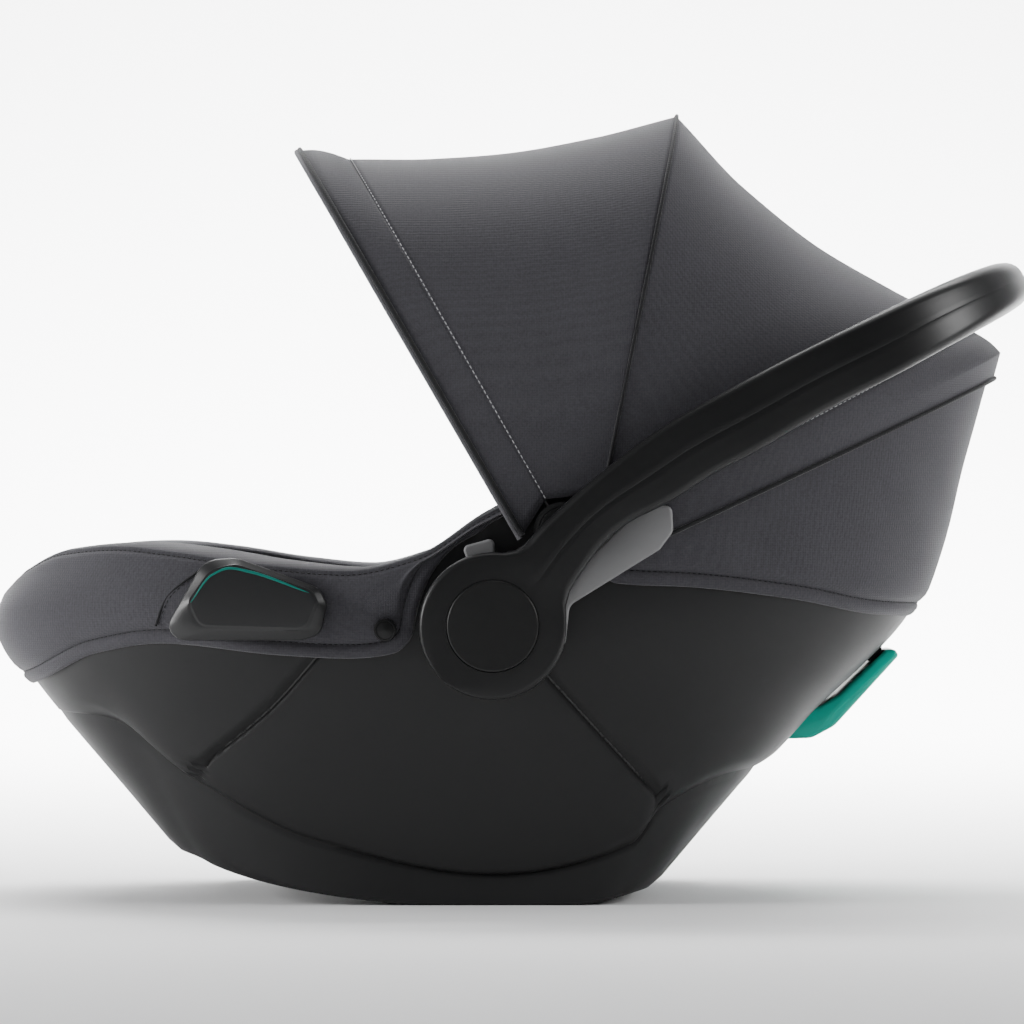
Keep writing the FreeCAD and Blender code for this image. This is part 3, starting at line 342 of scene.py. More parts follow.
def offset_line(points, distance):
    """A side-view line moved to its left by a distance, as points."""
    p = np.asarray(points, float)
    along = np.gradient(p, axis=0)
    along /= np.linalg.norm(along, axis=1)[:, None]
    moved = p + distance * np.stack([-along[:, 1], along[:, 0]], 1)
    keep = [0]
    for i in range(1, len(moved)):
        if moved[i, 0] > moved[keep[-1], 0] + 0.5:
            keep.append(i)
    return moved[keep]


def add(name, points, faces, material, body=None, replaces=(), slot=None, sharp=None):
    """A mesh object from points in millimetres."""
    mesh = bpy.data.meshes.new(name)
    mesh.from_pydata((np.asarray(points, float) * MM).tolist(), [], [list(map(int, f)) for f in faces])
    mesh.validate()
    mesh.shade_smooth()
    if sharp:
        mesh.set_sharp_from_angle(angle=math.radians(sharp))
    mesh.materials.append(material)
    piece = bpy.data.objects.new(name, mesh)
    bpy.context.scene.collection.objects.link(piece)
    if body:
        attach(piece, body)
    if replaces:
        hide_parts(*replaces)
    return piece


def grid_faces(rows, columns, wrap=False, start=0, flip=False):
    """Quads between the rows of a grid of points."""
    faces = []
    last = columns if wrap else columns - 1
    for r in range(rows - 1):
        for c in range(last):
            d = (c + 1) % columns
            quad = (r * columns + c, r * columns + d, (r + 1) * columns + d, (r + 1) * columns + c)
            faces.append(tuple(start + q for q in (quad[::-1] if flip else quad)))
    return faces


def grid_normals(grid, wrap=False):
    """Unit normals of a grid of points."""
    down = np.gradient(grid, axis=0)
    across = np.gradient(grid, axis=1)
    if wrap:
        across = (np.roll(grid, -1, 1) - np.roll(grid, 1, 1)) / 2
    normal = np.cross(across, down)
    return normal / np.maximum(np.linalg.norm(normal, axis=2), 1e-9)[..., None]


def sheet_faces(rows, columns, wrap=False):
    """Faces of a thin closed sheet: the outer grid, the inner grid, and the edges between them."""
    count = rows * columns
    faces = grid_faces(rows, columns, wrap) + grid_faces(rows, columns, wrap, count, True)
    last = columns if wrap else columns - 1
    for c in range(last):
        d = (c + 1) % columns
        faces.append((d, c, count + c, count + d))
        base = (rows - 1) * columns
        faces.append((base + c, base + d, count + base + d, count + base + c))
    if not wrap:
        for r in range(rows - 1):
            a, b = r * columns, (r + 1) * columns
            faces.append((a, b, count + b, count + a))
            a, b = a + columns - 1, b + columns - 1
            faces.append((b, a, count + a, count + b))
    return faces


def thin(name, grid, thickness, material, wrap=False, **more):
    """A closed thin sheet whose outer face is the grid; the grid's normals point inwards."""
    inner = grid + grid_normals(grid, wrap) * thickness
    points = np.concatenate([inner.reshape(-1, 3), grid.reshape(-1, 3)])
    return add(name, points, sheet_faces(*grid.shape[:2], wrap), material, **more)


def resample(points, pitch):
    """Points at an even pitch along a polyline."""
    p = np.asarray(points, float)
    run = np.concatenate([[0], np.cumsum(np.linalg.norm(np.diff(p, axis=0), axis=1))])
    count = max(int(round(run[-1] / pitch)), 2)
    even = np.linspace(0, run[-1], count + 1)
    return np.stack([np.interp(even, run, p[:, i]) for i in range(3)], 1)


def tube_mesh(points, radius, sides=8, flat=1.0):
    """Points and faces of a round cord along a polyline; radius may vary along it."""
    p = np.asarray(points, float)
    radius = np.broadcast_to(radius, len(p))
    along = np.gradient(p, axis=0)
    along /= np.linalg.norm(along, axis=1)[:, None]
    hint = np.array([0.3, 0.1, 1.0])
    up = hint - along * (along @ hint)[:, None]
    up /= np.linalg.norm(up, axis=1)[:, None]
    side = np.cross(along, up)
    turn = np.linspace(0, 2 * math.pi, sides, endpoint=False)
    rings = (
        p[:, None]
        + side[:, None] * (np.cos(turn)[None, :, None] * radius[:, None, None])
        + up[:, None] * (np.sin(turn)[None, :, None] * radius[:, None, None] * flat)
    )
    faces = grid_faces(len(p), sides, True)
    faces.append(tuple(range(sides)))
    faces.append(tuple(len(p) * sides - 1 - i for i in range(sides)))
    return rings.reshape(-1, 3), faces


def tube(name, points, radius, material, sides=8, **more):
    return add(name, *tube_mesh(points, radius, sides), material, **more)


def stitches(name, lines, material, pitch=3.6, length=2.3, radius=0.32, **more):
    """Short threads along polylines, as one piece."""
    all_points, all_faces, count = [], [], 0
    for line in lines:
        marks = resample(line, pitch)
        for a, b in zip(marks, marks[1:]):
            way = (b - a) / max(np.linalg.norm(b - a), 1e-9)
            middle = (a + b) / 2
            run = [middle + way * length * s for s in (-0.5, -0.3, 0.3, 0.5)]
            points, faces = tube_mesh(run, np.array([0.4, 1, 1, 0.4]) * radius, 5)
            all_points.append(points)
            all_faces += [tuple(count + i for i in f) for f in faces]
            count += len(points)
    return add(name, np.concatenate(all_points), all_faces, material, **more)


def lathe(name, profile, centre, material, side=-1, turns=64, **more):
    """A round piece about a line along Y: profile is (radius, distance outwards from y = 0)."""
    turn = np.linspace(0, 2 * math.pi, turns, endpoint=False)
    rows = []
    for radius, out in profile:
        x, z = centre[0] + radius * np.cos(turn), centre[1] + radius * np.sin(turn)
        rows.append(np.stack([x, np.full(turns, side * out), z], 1))
    faces = grid_faces(len(rows), turns, True, flip=side < 0)
    faces.append(tuple(range(turns))[::side])
    faces.append(tuple((len(rows) - 1) * turns + i for i in range(turns))[::-side])
    return add(name, np.concatenate(rows), faces, material, **more)


def rounded(points, radii, arc=6):
    """A closed outline whose corners are arcs."""
    p = np.asarray(points, float)
    out = []
    for i, radius in enumerate(radii):
        here, before, after = p[i], p[i - 1], p[(i + 1) % len(p)]
        to_before = (before - here) / np.linalg.norm(before - here)
        to_after = (after - here) / np.linalg.norm(after - here)
        half = math.acos(np.clip(to_before @ to_after, -1, 1)) / 2
        bisector = (to_before + to_after) / np.linalg.norm(to_before + to_after)
        centre = here + bisector * radius / math.sin(half)
        a, b = here + to_before * radius / math.tan(half), here + to_after * radius / math.tan(half)
        for t in np.linspace(0, 1, arc):
            way = (a - centre) * (1 - t) + (b - centre) * t
            out.append(centre + way / np.linalg.norm(way) * radius)
    return np.array(out)


def inset(loop, distance):
    """A closed outline moved inwards."""
    along = np.roll(loop, -1, 0) - np.roll(loop, 1, 0)
    along /= np.maximum(np.linalg.norm(along, axis=1), 1e-9)[:, None]
    turn = np.sign(np.sum(loop[:, 0] * np.roll(loop[:, 1], -1) - np.roll(loop[:, 0], -1) * loop[:, 1]))
    return loop + distance * turn * np.stack([-along[:, 1], along[:, 0]], 1)


def stack(name, layers, material, side=-1, **more):
    """A plate made of side-view loops with the same count, each at its own distance from y = 0."""
    rows = [
        np.stack([loop[:, 0], np.full(len(loop), side * out), loop[:, 1]], 1)
        for loop, out in layers
    ]
    turns = len(rows[0])
    loop = layers[0][0]
    area = np.sum(loop[:, 0] * np.roll(loop[:, 1], -1) - np.roll(loop[:, 0], -1) * loop[:, 1])
    flip = (area > 0) == (side < 0)
    faces = grid_faces(len(rows), turns, True, flip=flip)
    order = 1 if flip else -1
    faces.append(tuple(range(turns))[::order])
    faces.append(tuple((len(rows) - 1) * turns + i for i in range(turns))[::-order])
    return add(name, np.concatenate(rows), faces, material, **more)


SIDES = (("left", -1), ("right", 1))

# ----------------------------------------------------------------------------------------------
# The bucket, as in the CAD: horizontal superellipses
# ----------------------------------------------------------------------------------------------
LEVELS = [
    (-8, -183, 84, 149, 5.0), (30, -217, 116, 151, 4.6), (75, -256, 155, 157, 3.9),
    (120, -296, 197, 168, 3.1), (142, -314, 219, 173, 2.8), (165, -328, 243, 178, 2.6),
    (190, -329, 262, 181, 2.6), (215, -317, 272, 181, 2.6), (245, -304, 280, 181, 2.6),
    (300, -296, 294, 180, 2.6), (345, -294, 308, 178, 2.6), (390, -294, 322, 176, 2.6),
]
SEAT_LINE = [
    (-420, 262), (-290, 205), (-240, 172), (-180, 134), (-110, 98), (-40, 72),
    (20, 63), (60, 76), (150, 160), (250, 262), (284, 335), (300, 420),
]
RIM_LINE = [
    (-420, 190), (-334, 196), (-316, 209), (-288, 221), (-252, 224), (-219, 221), (-162, 213),
    (-104, 208.5), (-60, 218), (-19, 243), (40, 270), (120, 297), (200, 320), (270, 338),
    (312, 346), (420, 350),
]
FLOOR_LINE = [
    (-420, 32), (-222, 32), (-198, 23), (-172, 15.5), (-134, 8), (-96, 3), (-58, 0), (42, 0),
    (62, 2.6), (96, 8.5), (420, 8.5),
]
HEM_FOOT = [
    (-420, 118), (-335, 133), (-312, 140), (-266, 161), (-224, 167.5), (-148, 160.5),
    (-104, 158.5), (-76, 161.5), (-64, 172), (-60, 190), (-52, 210), (-36, 229), (-18, 240),
    (-4, 256),
]
HEM_HEAD = [
    (50, 282), (54, 250), (58, 212), (66, 206), (113, 203.5), (180, 195.5), (236, 185), (420, 176),
]
# where the body meets the rocker skirt, seen from the side
SKIRT_LINE = [
    (-420, 124), (-272, 120), (-208, 77), (-135, 42), (-14, 19.5), (81, 38.5), (101, 62),
    (162, 85), (420, 92),
]
level_table = np.array(LEVELS, float)


def section(z):
    """Foot reach, head reach, half width and power of the bucket at a height."""
    values = cubic(level_table[:, 0], level_table[:, 1:], np.clip(z, -8, 390))
    return -values[..., 0], values[..., 1], values[..., 2], values[..., 3]


def bucket(way, z, offset=0.0):
    """The bucket's surface in a plan direction (radians from +X) at height z, moved outwards."""
    foot, head, half, power = section(z)
    c, s = np.cos(way), np.sin(way)
    reach = np.where(c > 0, head, foot) + offset
    radius = ((np.abs(c) / reach) ** power + (np.abs(s) / (half + offset)) ** power) ** (-1 / power)
    return np.stack([radius * c, radius * s, np.broadcast_to(z, radius.shape)], -1)


def on_side(x, z, offset, side=-1):
    """The bucket's surface point at a side-view place."""
    x, z = np.asarray(x, float), np.asarray(z, float)
    foot, head, half, power = section(z)
    reach = np.where(x > 0, head, foot) + offset
    y = (half + offset) * np.maximum(1 - (np.abs(x) / reach) ** power, 0) ** (1 / power)
    return np.stack([x, side * y, z], -1)


def height_of(line, way, offset=0.0):
    """Height at which the bucket's surface meets a side-view line, in each plan direction."""
    low, high = np.full(way.shape, -8.0), np.full(way.shape, 390.0)
    for _ in range(40):
        middle = (low + high) / 2
        over = middle > line(bucket(way, middle, offset)[..., 0])
        low, high = np.where(over, low, middle), np.where(over, middle, high)
    return (low + high) / 2


def plan_ways(spacing):
    """Plan directions all round the bucket; spacing(x) is the wanted distance between them."""
    fine = np.linspace(0, math.pi, 4001)
    run = bucket(fine, np.full(fine.shape, 190.0))
    stride = np.linalg.norm(np.diff(run, axis=0), axis=1)
    weight = np.concatenate([[0], np.cumsum(stride / spacing((run[1:, 0] + run[:-1, 0]) / 2))])
    half = np.interp(np.linspace(0, weight[-1], int(weight[-1]) + 1), weight, fine)
    return np.concatenate([half, 2 * math.pi - half[-2:0:-1]])


def rim(x):
    return smooth(RIM_LINE, x)


def seat(x):
    return smooth(SEAT_LINE, x)


def in_plan(z, way, offset):
    """Rows of bucket points: z and offset have one row for each row of the grid."""
    return bucket(np.broadcast_to(way, z.shape), z, offset)


# ----------------------------------------------------------------------------------------------
# Shell
# ----------------------------------------------------------------------------------------------
# press lines as (z, x) points: at the foot end and at the head end
CREASES = (
    [(63, -226), (83, -206), (128, -152.7), (160, -124), (200, -90)],
    [(40, 122), (63, 101), (144, 27), (200, -24)],
)
TUCK = 11.0  # how far the body stands in, above the skirt
TUCK_HEIGHT = 44.0
SKIRT_PROUD = 2.6
PAN_DEPTH = 42.0  # underside of the pan below the seat line


def shell_relief(points, skirt_top):
    """How far the shell stands off the bucket's surface: tucked body, creases and raised ends."""
    x, z = points[..., 0], points[..., 2]
    above = np.clip((z - skirt_top) / TUCK_HEIGHT, 0, 1)
    ends = step(x, -292, -245) * (1 - step(x, 140, 190))
    tuck = -TUCK * ends * (1 - np.sqrt(1 - (1 - above) ** 2))
    relief = np.zeros(x.shape)
    for line, outward, lean in ((CREASES[0], -1, 0.70), (CREASES[1], 1, 0.74)):
        away = (x - smooth(line, z)) * outward * lean
        fade = step(z, 48, 66) if outward > 0 else step(z, 62, 84)
        relief += (2.6 * step(away, -1.0, 3.0) - 1.9 * np.exp(-((away + 1.2) / 1.5) ** 2)) * fade
    inside = step(x, -300, -262) * (1 - step(x, 150, 200) * (1 - step(z, 110, 150)))
    return tuck + relief * inside * step(z, skirt_top - 2, skirt_top + 10)


def shell_spacing(x):
    near = ((x > -212) & (x < -112)) | ((x > 16) & (x < 108))
    return np.where(near, 1.3, 5.5)


def make_shell():
    way = plan_ways(shell_spacing)
    floor_z = height_of(lambda x: smooth(FLOOR_LINE, x), way)
    skirt_z = np.maximum(height_of(lambda x: smooth(SKIRT_LINE, x), way), floor_z + 4)
    rim_z = height_of(rim, way)
    pan_z = height_of(lambda x: seat(x) - PAN_DEPTH, way, -8.0)
    rows = []
    plan = bucket(way, skirt_z)
    ends = step(plan[:, 0], -292, -245) * (1 - step(plan[:, 0], 140, 190))
    proud = SKIRT_PROUD * step(np.abs(plan[:, 0] + 20), 30, 110) * ends
    low = -TUCK * ends + proud
    for share in np.linspace(0, 1, 15):
        z = floor_z + (skirt_z - floor_z) * share
        drift = low * (0.75 + 0.25 * share)
        edge = -1.6 * (1 - min(share / 0.05, 1.0)) - 0.9 * max(share - 0.96, 0) / 0.04
        rows.append(in_plan(z, way, drift + edge))
    for share in np.linspace(0, 1, 104) ** 1.06:
        z = skirt_z + 0.5 + (rim_z - skirt_z - 0.5) * share
        flat = in_plan(z, way, 0.0)
        rows.append(in_plan(z, way, shell_relief(flat, skirt_z)))
    for offset, drop in ((-1.0, -0.8), (-4.0, -0.6), (-4.6, 10.0)):
        rows.append(in_plan(rim_z - drop, way, offset))
    outer = len(rows)
    inner_low, inner_high = -TUCK - 6.0, -6.0
    under = [in_plan(floor_z, way, low * 0.75 - 5.0)]
    pan_top = np.clip(pan_z, floor_z + 12, rim_z - 30)
    for share in np.linspace(0.04, 1, 22):
        z = floor_z + (pan_top - floor_z) * share
        offset = inner_low + (inner_high - inner_low) * step(z, skirt_z + 20, skirt_z + 60)
        under.append(in_plan(z, way, offset))
    wall = under[-1]
    for share in np.linspace(0.08, 1, 16):
        pan = wall.copy()
        pan[:, 1] *= 1 - share
        pan[:, 2] += 6 * math.sin(math.pi / 2 * min(share * 3, 1))
        under.append(pan)
    rows = under[::-1] + rows
    grid = np.array(rows)
    add("shell", grid.reshape(-1, 3), grid_faces(len(rows), len(way), True), look["shell_plastic"],
        "seat", ("outer_shell",), "shell_plastic", 32)


make_shell()


def crease_lines(side):
    """The bottom of each press line, as polylines on one side of the shell."""
    lines = []
    for line, outward, lean, low in ((CREASES[0], -1, 0.70, 86), (CREASES[1], 1, 0.74, 68)):
        z = np.linspace(low, 190, 60)
        x = smooth(line, z) - 1.2 * outward / lean
        skin = np.stack([x, 0 * x, z], -1)
        depth = shell_relief(skin, smooth(SKIRT_LINE, x))
        lines.append(on_side(x, z, depth - 0.5, side))
    return lines


# A thin dark cord sunk in the bottom of each press line: painted shade in the groove.
for name, side in SIDES:
    for number, line in enumerate(crease_lines(side)):
        taper = 1.5 * np.concatenate([np.linspace(0.2, 1, 10), np.ones(50)])
        tube(f"shell_press_line_{number}_{name}", line, taper, look["bow_plastic"], 6, body="seat")

# ----------------------------------------------------------------------------------------------
# Cover: hem band, side panels, and the roll over the rim
# ----------------------------------------------------------------------------------------------
BAND = 8.0
hem_band_foot = offset_line(HEM_FOOT, BAND)
hem_band_head = offset_line(HEM_HEAD, BAND)


def hem(x):
    """Lower edge of the cover."""
    between = (x > -8) & (x < 50)
    line = np.where(x <= -8, smooth(HEM_FOOT, x), smooth(HEM_HEAD, x))
    return np.minimum(np.where(between, rim(x) - 2.0, line), rim(x) - 2.0)


def band_top(x):
    """Seam above the hem band."""
    between = (x > -8) & (x < 50)
    line = np.where(x <= -8, smooth(hem_band_foot, x), smooth(hem_band_head, x))
    return np.minimum(np.where(between, rim(x) - 1.0, line), rim(x) - 1.0)


def ripple(points, size):
    """Slow, even unevenness of cloth, the same each time."""
    x, y, z = (points[..., i] / size for i in range(3))
    waves = np.sin(2.1 * x + 1.3 * z + 0.4) + np.sin(1.7 * z - 1.1 * x + 1.9 * y)
    waves = waves + np.sin(2.6 * y + 0.7 * x)
    return waves / 3 + 0.4 * np.sin(4.3 * x + 3.1 * z + 2.2 * y)


def cover_spacing(x):
    near = ((x > -84) & (x < 0)) | ((x > 44) & (x < 72))
    return np.where(near, 1.3, 4.2)


def make_cover():
    way = plan_ways(cover_spacing)
    base = height_of(lambda x: hem(x), way, 5.0)
    seam = np.maximum(height_of(lambda x: band_top(x), way, 5.0), base + 0.4)
    top = height_of(rim, way, 5.0)
    room = np.clip((top - seam) / 20, 0.05, 1)
    rows, marks = [], {}

    def row(z, offset, mark=None, soft=0.0):
        flat = in_plan(z, way, offset)
        if soft:
            flat = in_plan(z, way, offset + soft * ripple(flat, 42))
        if mark:
            marks[mark] = flat
        rows.append(flat)

    row(base + 3, 1.2)
    row(base - 0.2, 1.6)
    row(base - 0.8, 3.2)
    row(base - 0.1, 4.6)
    row(base + 1.2 * room, 5.4)
    row(base + (seam - base) * 0.5, 5.9)
    row(seam - 1.8 * room, 5.2)
    row(seam, 3.6, "hem_seam")
    row(seam + 1.8 * room, 5.3)
    row(seam + 5 * room, 6.9)
    low, high = seam + 9 * room, top - 5 * room
    for share in np.linspace(0, 1, 18):
        row(low + (high - low) * share, 7.2 + 0.9 * math.sin(math.pi * share), None, 0.55)
    row(top - 1.5 * room, 7.0)
    row(top + 0.6, 6.4)
    row(top + 1.8, 4.9, "top_seam")
    row(top + 3.0, 4.9)
    for turn in np.radians(np.linspace(26, 180, 22)):
        c, s = math.cos(turn), math.sin(turn)
        row(top + 0.4 + 6.6 * s**0.75, -14 + 20.5 * math.copysign(abs(c) ** 0.8, c), None, 0.25)
    row(top - 8, -35.0)
    grid = np.array(rows)
    add("cover", grid.reshape(-1, 3), grid_faces(len(rows), len(way), True), look["grey_fabric"],
        "seat", ("seat_cover",), "grey_fabric", 70)
    return marks


seams = make_cover()


def lifted(line, distance):
    """A closed seam moved off the surface, away from the bucket's middle."""
    out = line * np.array([1, 1, 0])
    out = out / np.linalg.norm(out, axis=1)[:, None]
    return np.concatenate([line + out * distance, (line + out * distance)[:1]])


shown_hem = lifted(seams["hem_seam"], 0.5)
parts, current = [], []
for point in shown_hem:
    if -10 < point[0] < 52:
        if len(current) > 4:
            parts.append(current)
        current = []
    else:
        current.append(point)
if len(current) > 4:
    parts.append(current)
stitches("hem_stitches", parts, dark_thread, body="seat")
stitches("rim_stitches", [lifted(seams["top_seam"], 0.5)], dark_thread, body="seat")
side_seams = []
for name, side in SIDES:
    steps_z = np.linspace(178, 216, 24)
    seam_x = smooth([(176, -226), (195, -218.5), (216, -193.4)], steps_z)
    side_seams.append(on_side(seam_x + 1.6, steps_z, 8.2, side))
    tube("side_seam_" + name, on_side(seam_x, steps_z, 7.4, side), 0.9, dark_fabric, body="seat")
stitches("side_seam_stitches", side_seams, dark_thread, body="seat")

# ----------------------------------------------------------------------------------------------
# Seat lining
# ----------------------------------------------------------------------------------------------


def make_lining():
    way = plan_ways(lambda x: np.full(x.shape, 7.0))
    top = height_of(rim, way, -36.0)
    low = np.minimum(height_of(seat, way, -36.0), top - 4)
    rows = []
    for share in np.linspace(0, 1, 20):
        bulge = -34.6 - 0.5 * math.sin(math.pi * share)
        rows.append(in_plan(top - 3 - (top - 3 - low) * share, way, bulge))
    wall = rows[-1]
    for share in np.linspace(0.05, 1, 22):
        floor = wall.copy()
        floor[:, 1] *= 1 - share
        floor[:, 2] -= 0.6
        rows.append(floor)
    grid = np.array(rows)
    for _ in range(5):
        middle = (grid[:-2] + grid[2:]) / 2
        grid[1:-1] += 0.5 * (middle - grid[1:-1])
        grid[1:-1] += 0.25 * ((np.roll(grid, 1, 1) + np.roll(grid, -1, 1)) / 2 - grid)[1:-1]
    grid += grid_normals(grid, True) * (0.3 * ripple(grid, 30))[..., None]
    piece = add("seat_lining_cloth", grid.reshape(-1, 3), grid_faces(len(rows), len(way), True),
                look["lining_fabric"], "seat", ("seat_lining",), "lining_fabric")
    return piece


make_lining()

# ----------------------------------------------------------------------------------------------
# Canopy
# ----------------------------------------------------------------------------------------------
PIVOT = np.array([32.0, 238.0])
HALF_WIDTH = 193.3
FRONT_EDGE = ((7, 236), (-138, 487), 3.0)
FRONT_BOW = ((21, 258), (-107, 481), 3.0)
MID_BOW = ((57, 262), (107.6, 509), 3.0)
REAR_STITCH = ((58, 240), (303, 368.5), 2.5)
REAR_CORNER = ((57, 228), (321.5, 355), 2.25)
REAR_SEAM = ((56, 216), (317, 338), 2.2)
# how far each panel's crown line sags between its bows, as (share of the way, depth)
FRONT_SAG = [(0, 0), (0.25, 7), (0.5, 9.5), (0.75, 7), (1, 0)]
REAR_SAG = [(0, 0), (0.25, 12), (0.5, 15), (0.75, 10), (1, 0)]


def between(a, b, share, sink=0.0):
    """The arch a share of the way from a to b, with its crown sunk towards the pivot."""
    base = np.array(a[0], float) * (1 - share) + np.array(b[0], float) * share
    crown = np.array(a[1], float) * (1 - share) + np.array(b[1], float) * share
    inward = PIVOT - crown
    crown = crown + inward / np.linalg.norm(inward) * sink
    return base, crown, a[2] * (1 - share) + b[2] * share


def arch(base, crown, power, count=96, grow=0.0):
    """Points of an arch from the left base over the crown to the right base."""
    base, crown = np.array(base, float), np.array(crown, float)
    length = np.linalg.norm(crown - base) + grow
    crown = base + (crown - base) / np.linalg.norm(crown - base) * length
    width = HALF_WIDTH + grow
    turn = np.linspace(0, math.pi, 721)
    c, s = np.cos(turn), np.sin(turn)
    radius = (np.abs(c / width) ** power + np.abs(s / length) ** power) ** (-1 / power)
    up = (radius * s / length)[:, None]
    flat = base + (crown - base) * up
    points = np.stack([flat[:, 0], -radius * c, flat[:, 1]], 1)
    run = np.concatenate([[0], np.cumsum(np.linalg.norm(np.diff(points, axis=0), axis=1))])
    even = np.linspace(0, run[-1], count)
    return np.stack([np.interp(even, run, points[:, i]) for i in range(3)], 1)


def panel(a, b, sink, rows, count=120):
    """Grid of a taut panel between two bows; sink(share) is how far its crown line sags."""
    return np.array([arch(*between(a, b, t, sink(t)), count=count) for t in np.linspace(0, 1, rows)])


def dip(share, points):
    return float(smooth(points, np.array([share]))[0])


def angle_ends(a, b, radius):
    """Start and end of the bend between two bows: across their bisector, this far apart."""
    way_a, way_b = np.array(a[1]) - PIVOT, np.array(b[1]) - PIVOT
    way_a, way_b = way_a / np.linalg.norm(way_a), way_b / np.linalg.norm(way_b)
    middle = way_a + way_b
    middle /= np.linalg.norm(middle)
    half = math.acos(way_a @ middle) * 0.98
    normal = way_a - middle * (way_a @ middle)
    normal /= np.linalg.norm(normal)
    reach = normal * radius * math.sin(half)
    a_end, b_end = PIVOT + reach, PIVOT - reach
    return [(p[0] * MM, 0.0, p[1] * MM) for p in (a_end, b_end)]


def make_canopy():
    visor = panel(FRONT_EDGE, FRONT_BOW, lambda t: -3.0 * math.sin(math.pi * t), 14)
    piece = thin("canopy_visor_cloth", visor, 1.6, look["grey_fabric"], body="canopy_front",
                 replaces=("canopy_visor",), slot="grey_fabric")
    front = panel(FRONT_BOW, MID_BOW, lambda t: dip(t, FRONT_SAG), 46)
    piece = thin("canopy_front_cloth", front, 1.4, look["grey_fabric"], replaces=("canopy_front_panel",),
                 slot="grey_fabric")
    start, end = angle_ends(MID_BOW, FRONT_BOW, 200)
    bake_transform(piece)
    rear = panel(MID_BOW, REAR_STITCH, lambda t: dip(t, REAR_SAG), 52)
    piece = thin("canopy_rear_cloth", rear, 1.4, look["grey_fabric"], replaces=("canopy_rear_panel",),
                 slot="grey_fabric")
    start, end = angle_ends(REAR_STITCH, MID_BOW, 200)
    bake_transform(piece)
    rows = [arch(*between(REAR_STITCH, REAR_CORNER, t, -1.5 * math.sin(math.pi * t)), count=120)
            for t in np.linspace(0, 1, 8)]
    rows += [arch(*between(REAR_CORNER, REAR_SEAM, t), count=120) for t in np.linspace(0.1, 1, 8)]
    piece = thin("canopy_rear_band", np.array(rows), 1.6, look["grey_fabric"], body="seat",
                 replaces=("canopy_rear_hem",), slot="grey_fabric")
    edge = between(FRONT_EDGE, FRONT_BOW, -0.03)
    lip = between(FRONT_EDGE, FRONT_BOW, -0.13)
    tube("canopy_front_piping", arch(*edge, count=160, grow=0.2), 1.7, dark_fabric, body="canopy_front")
    tube("canopy_front_lip", arch(*lip, count=160, grow=-2.4), 2.0, inner_fabric, body="canopy_front")
    tube("canopy_mid_piping", arch(*MID_BOW, count=160, grow=0.5), 1.2, dark_fabric, body="canopy_mid")
    tube("canopy_rear_piping", arch(*REAR_SEAM, count=160, grow=0.7), 1.5, dark_fabric, body="seat")
    stitches("front_bow_stitches", [arch(*between(FRONT_BOW, MID_BOW, 0.006), count=200, grow=0.5)],
             light_thread, body="canopy_front")
    stitches("rear_band_stitches", [arch(*REAR_STITCH, count=200, grow=0.3)], light_thread, body="seat")


make_canopy()

# ----------------------------------------------------------------------------------------------
# Handle
# ----------------------------------------------------------------------------------------------
HUB = np.array([-12.0, 179.0])
HUB_RADIUS, ARM_Y, HALF_DEPTH = 46.0, 209.75, 10.25
# upper and lower edge of the arm, seen from the side
ARM_EDGES = [
    ((2.5, 226.4), (33.6, 191.6)), ((13, 235.7), (41.6, 209.6)), ((28.6, 251.2), (54.7, 227.6)),
    ((45, 266), (72.7, 243.2)), ((59.6, 278), (85.7, 250)), ((75, 290), (99.4, 257)),
    ((85.7, 297.8), (111.2, 264.5)), ((100, 307), (124.3, 273)), ((124, 320.5), (147, 285)),
    ((162.8, 341.3), (180, 304.2)), ((200, 360), (215, 323.3)),
]
BAR_LINE = [(216, 345.5, 20), (272, 374, 18.5), (307, 390.5, 16.5), (322, 397, 14.5)]


def arm_stations():
    """Rows of (centre x, y, z, width direction x, z, half width, half depth, corner, roof)."""
    hub = []
    for share in np.linspace(0.03, 0.97, 20):
        up = math.radians(226.8 - share * 148.8)
        low = math.radians(226.8 + share * 140.2)
        top = HUB + HUB_RADIUS * np.array([math.cos(up), math.sin(up)])
        bottom = HUB + HUB_RADIUS * np.array([math.cos(low), math.sin(low)])
        hub.append((top, bottom, 3.6, 0.0))
    arm = [(np.array(u, float), np.array(w, float), 5.0, 0.7) for u, w in ARM_EDGES]
    rows = []
    for top, bottom, corner, roof in hub + arm:
        middle, half = (top + bottom) / 2, np.linalg.norm(top - bottom) / 2
        wide = (top - bottom) / (2 * half)
        rows.append((middle[0], -ARM_Y, middle[1], wide[0], wide[1], half, HALF_DEPTH, corner, roof))
    bar = np.array(BAR_LINE, float)
    for i in range(1, 10):
        turn = math.pi / 2 * i / 9
        x = 200 + 122 * math.sin(turn) ** (2 / 2.4)
        y = -ARM_Y * max(math.cos(turn), 0.0) ** (2 / 2.4)
        share = math.sin(turn) ** 2
        z = float(smooth(bar[:, :2], max(x, 216.0))) if x > 216 else 345.5
        half = float(smooth(bar[:, [0, 2]], max(x, 216.0)))
        lean = 0.50
        length = math.hypot(lean, 1)
        depth = HALF_DEPTH * (1 - share) + 15 * share
        corner, roof = 5.0 + 7.0 * share, 0.7 - 0.7 * share
        rows.append((x, y, z, -lean / length, 1 / length, half, depth, corner, roof))
    return np.array(rows)


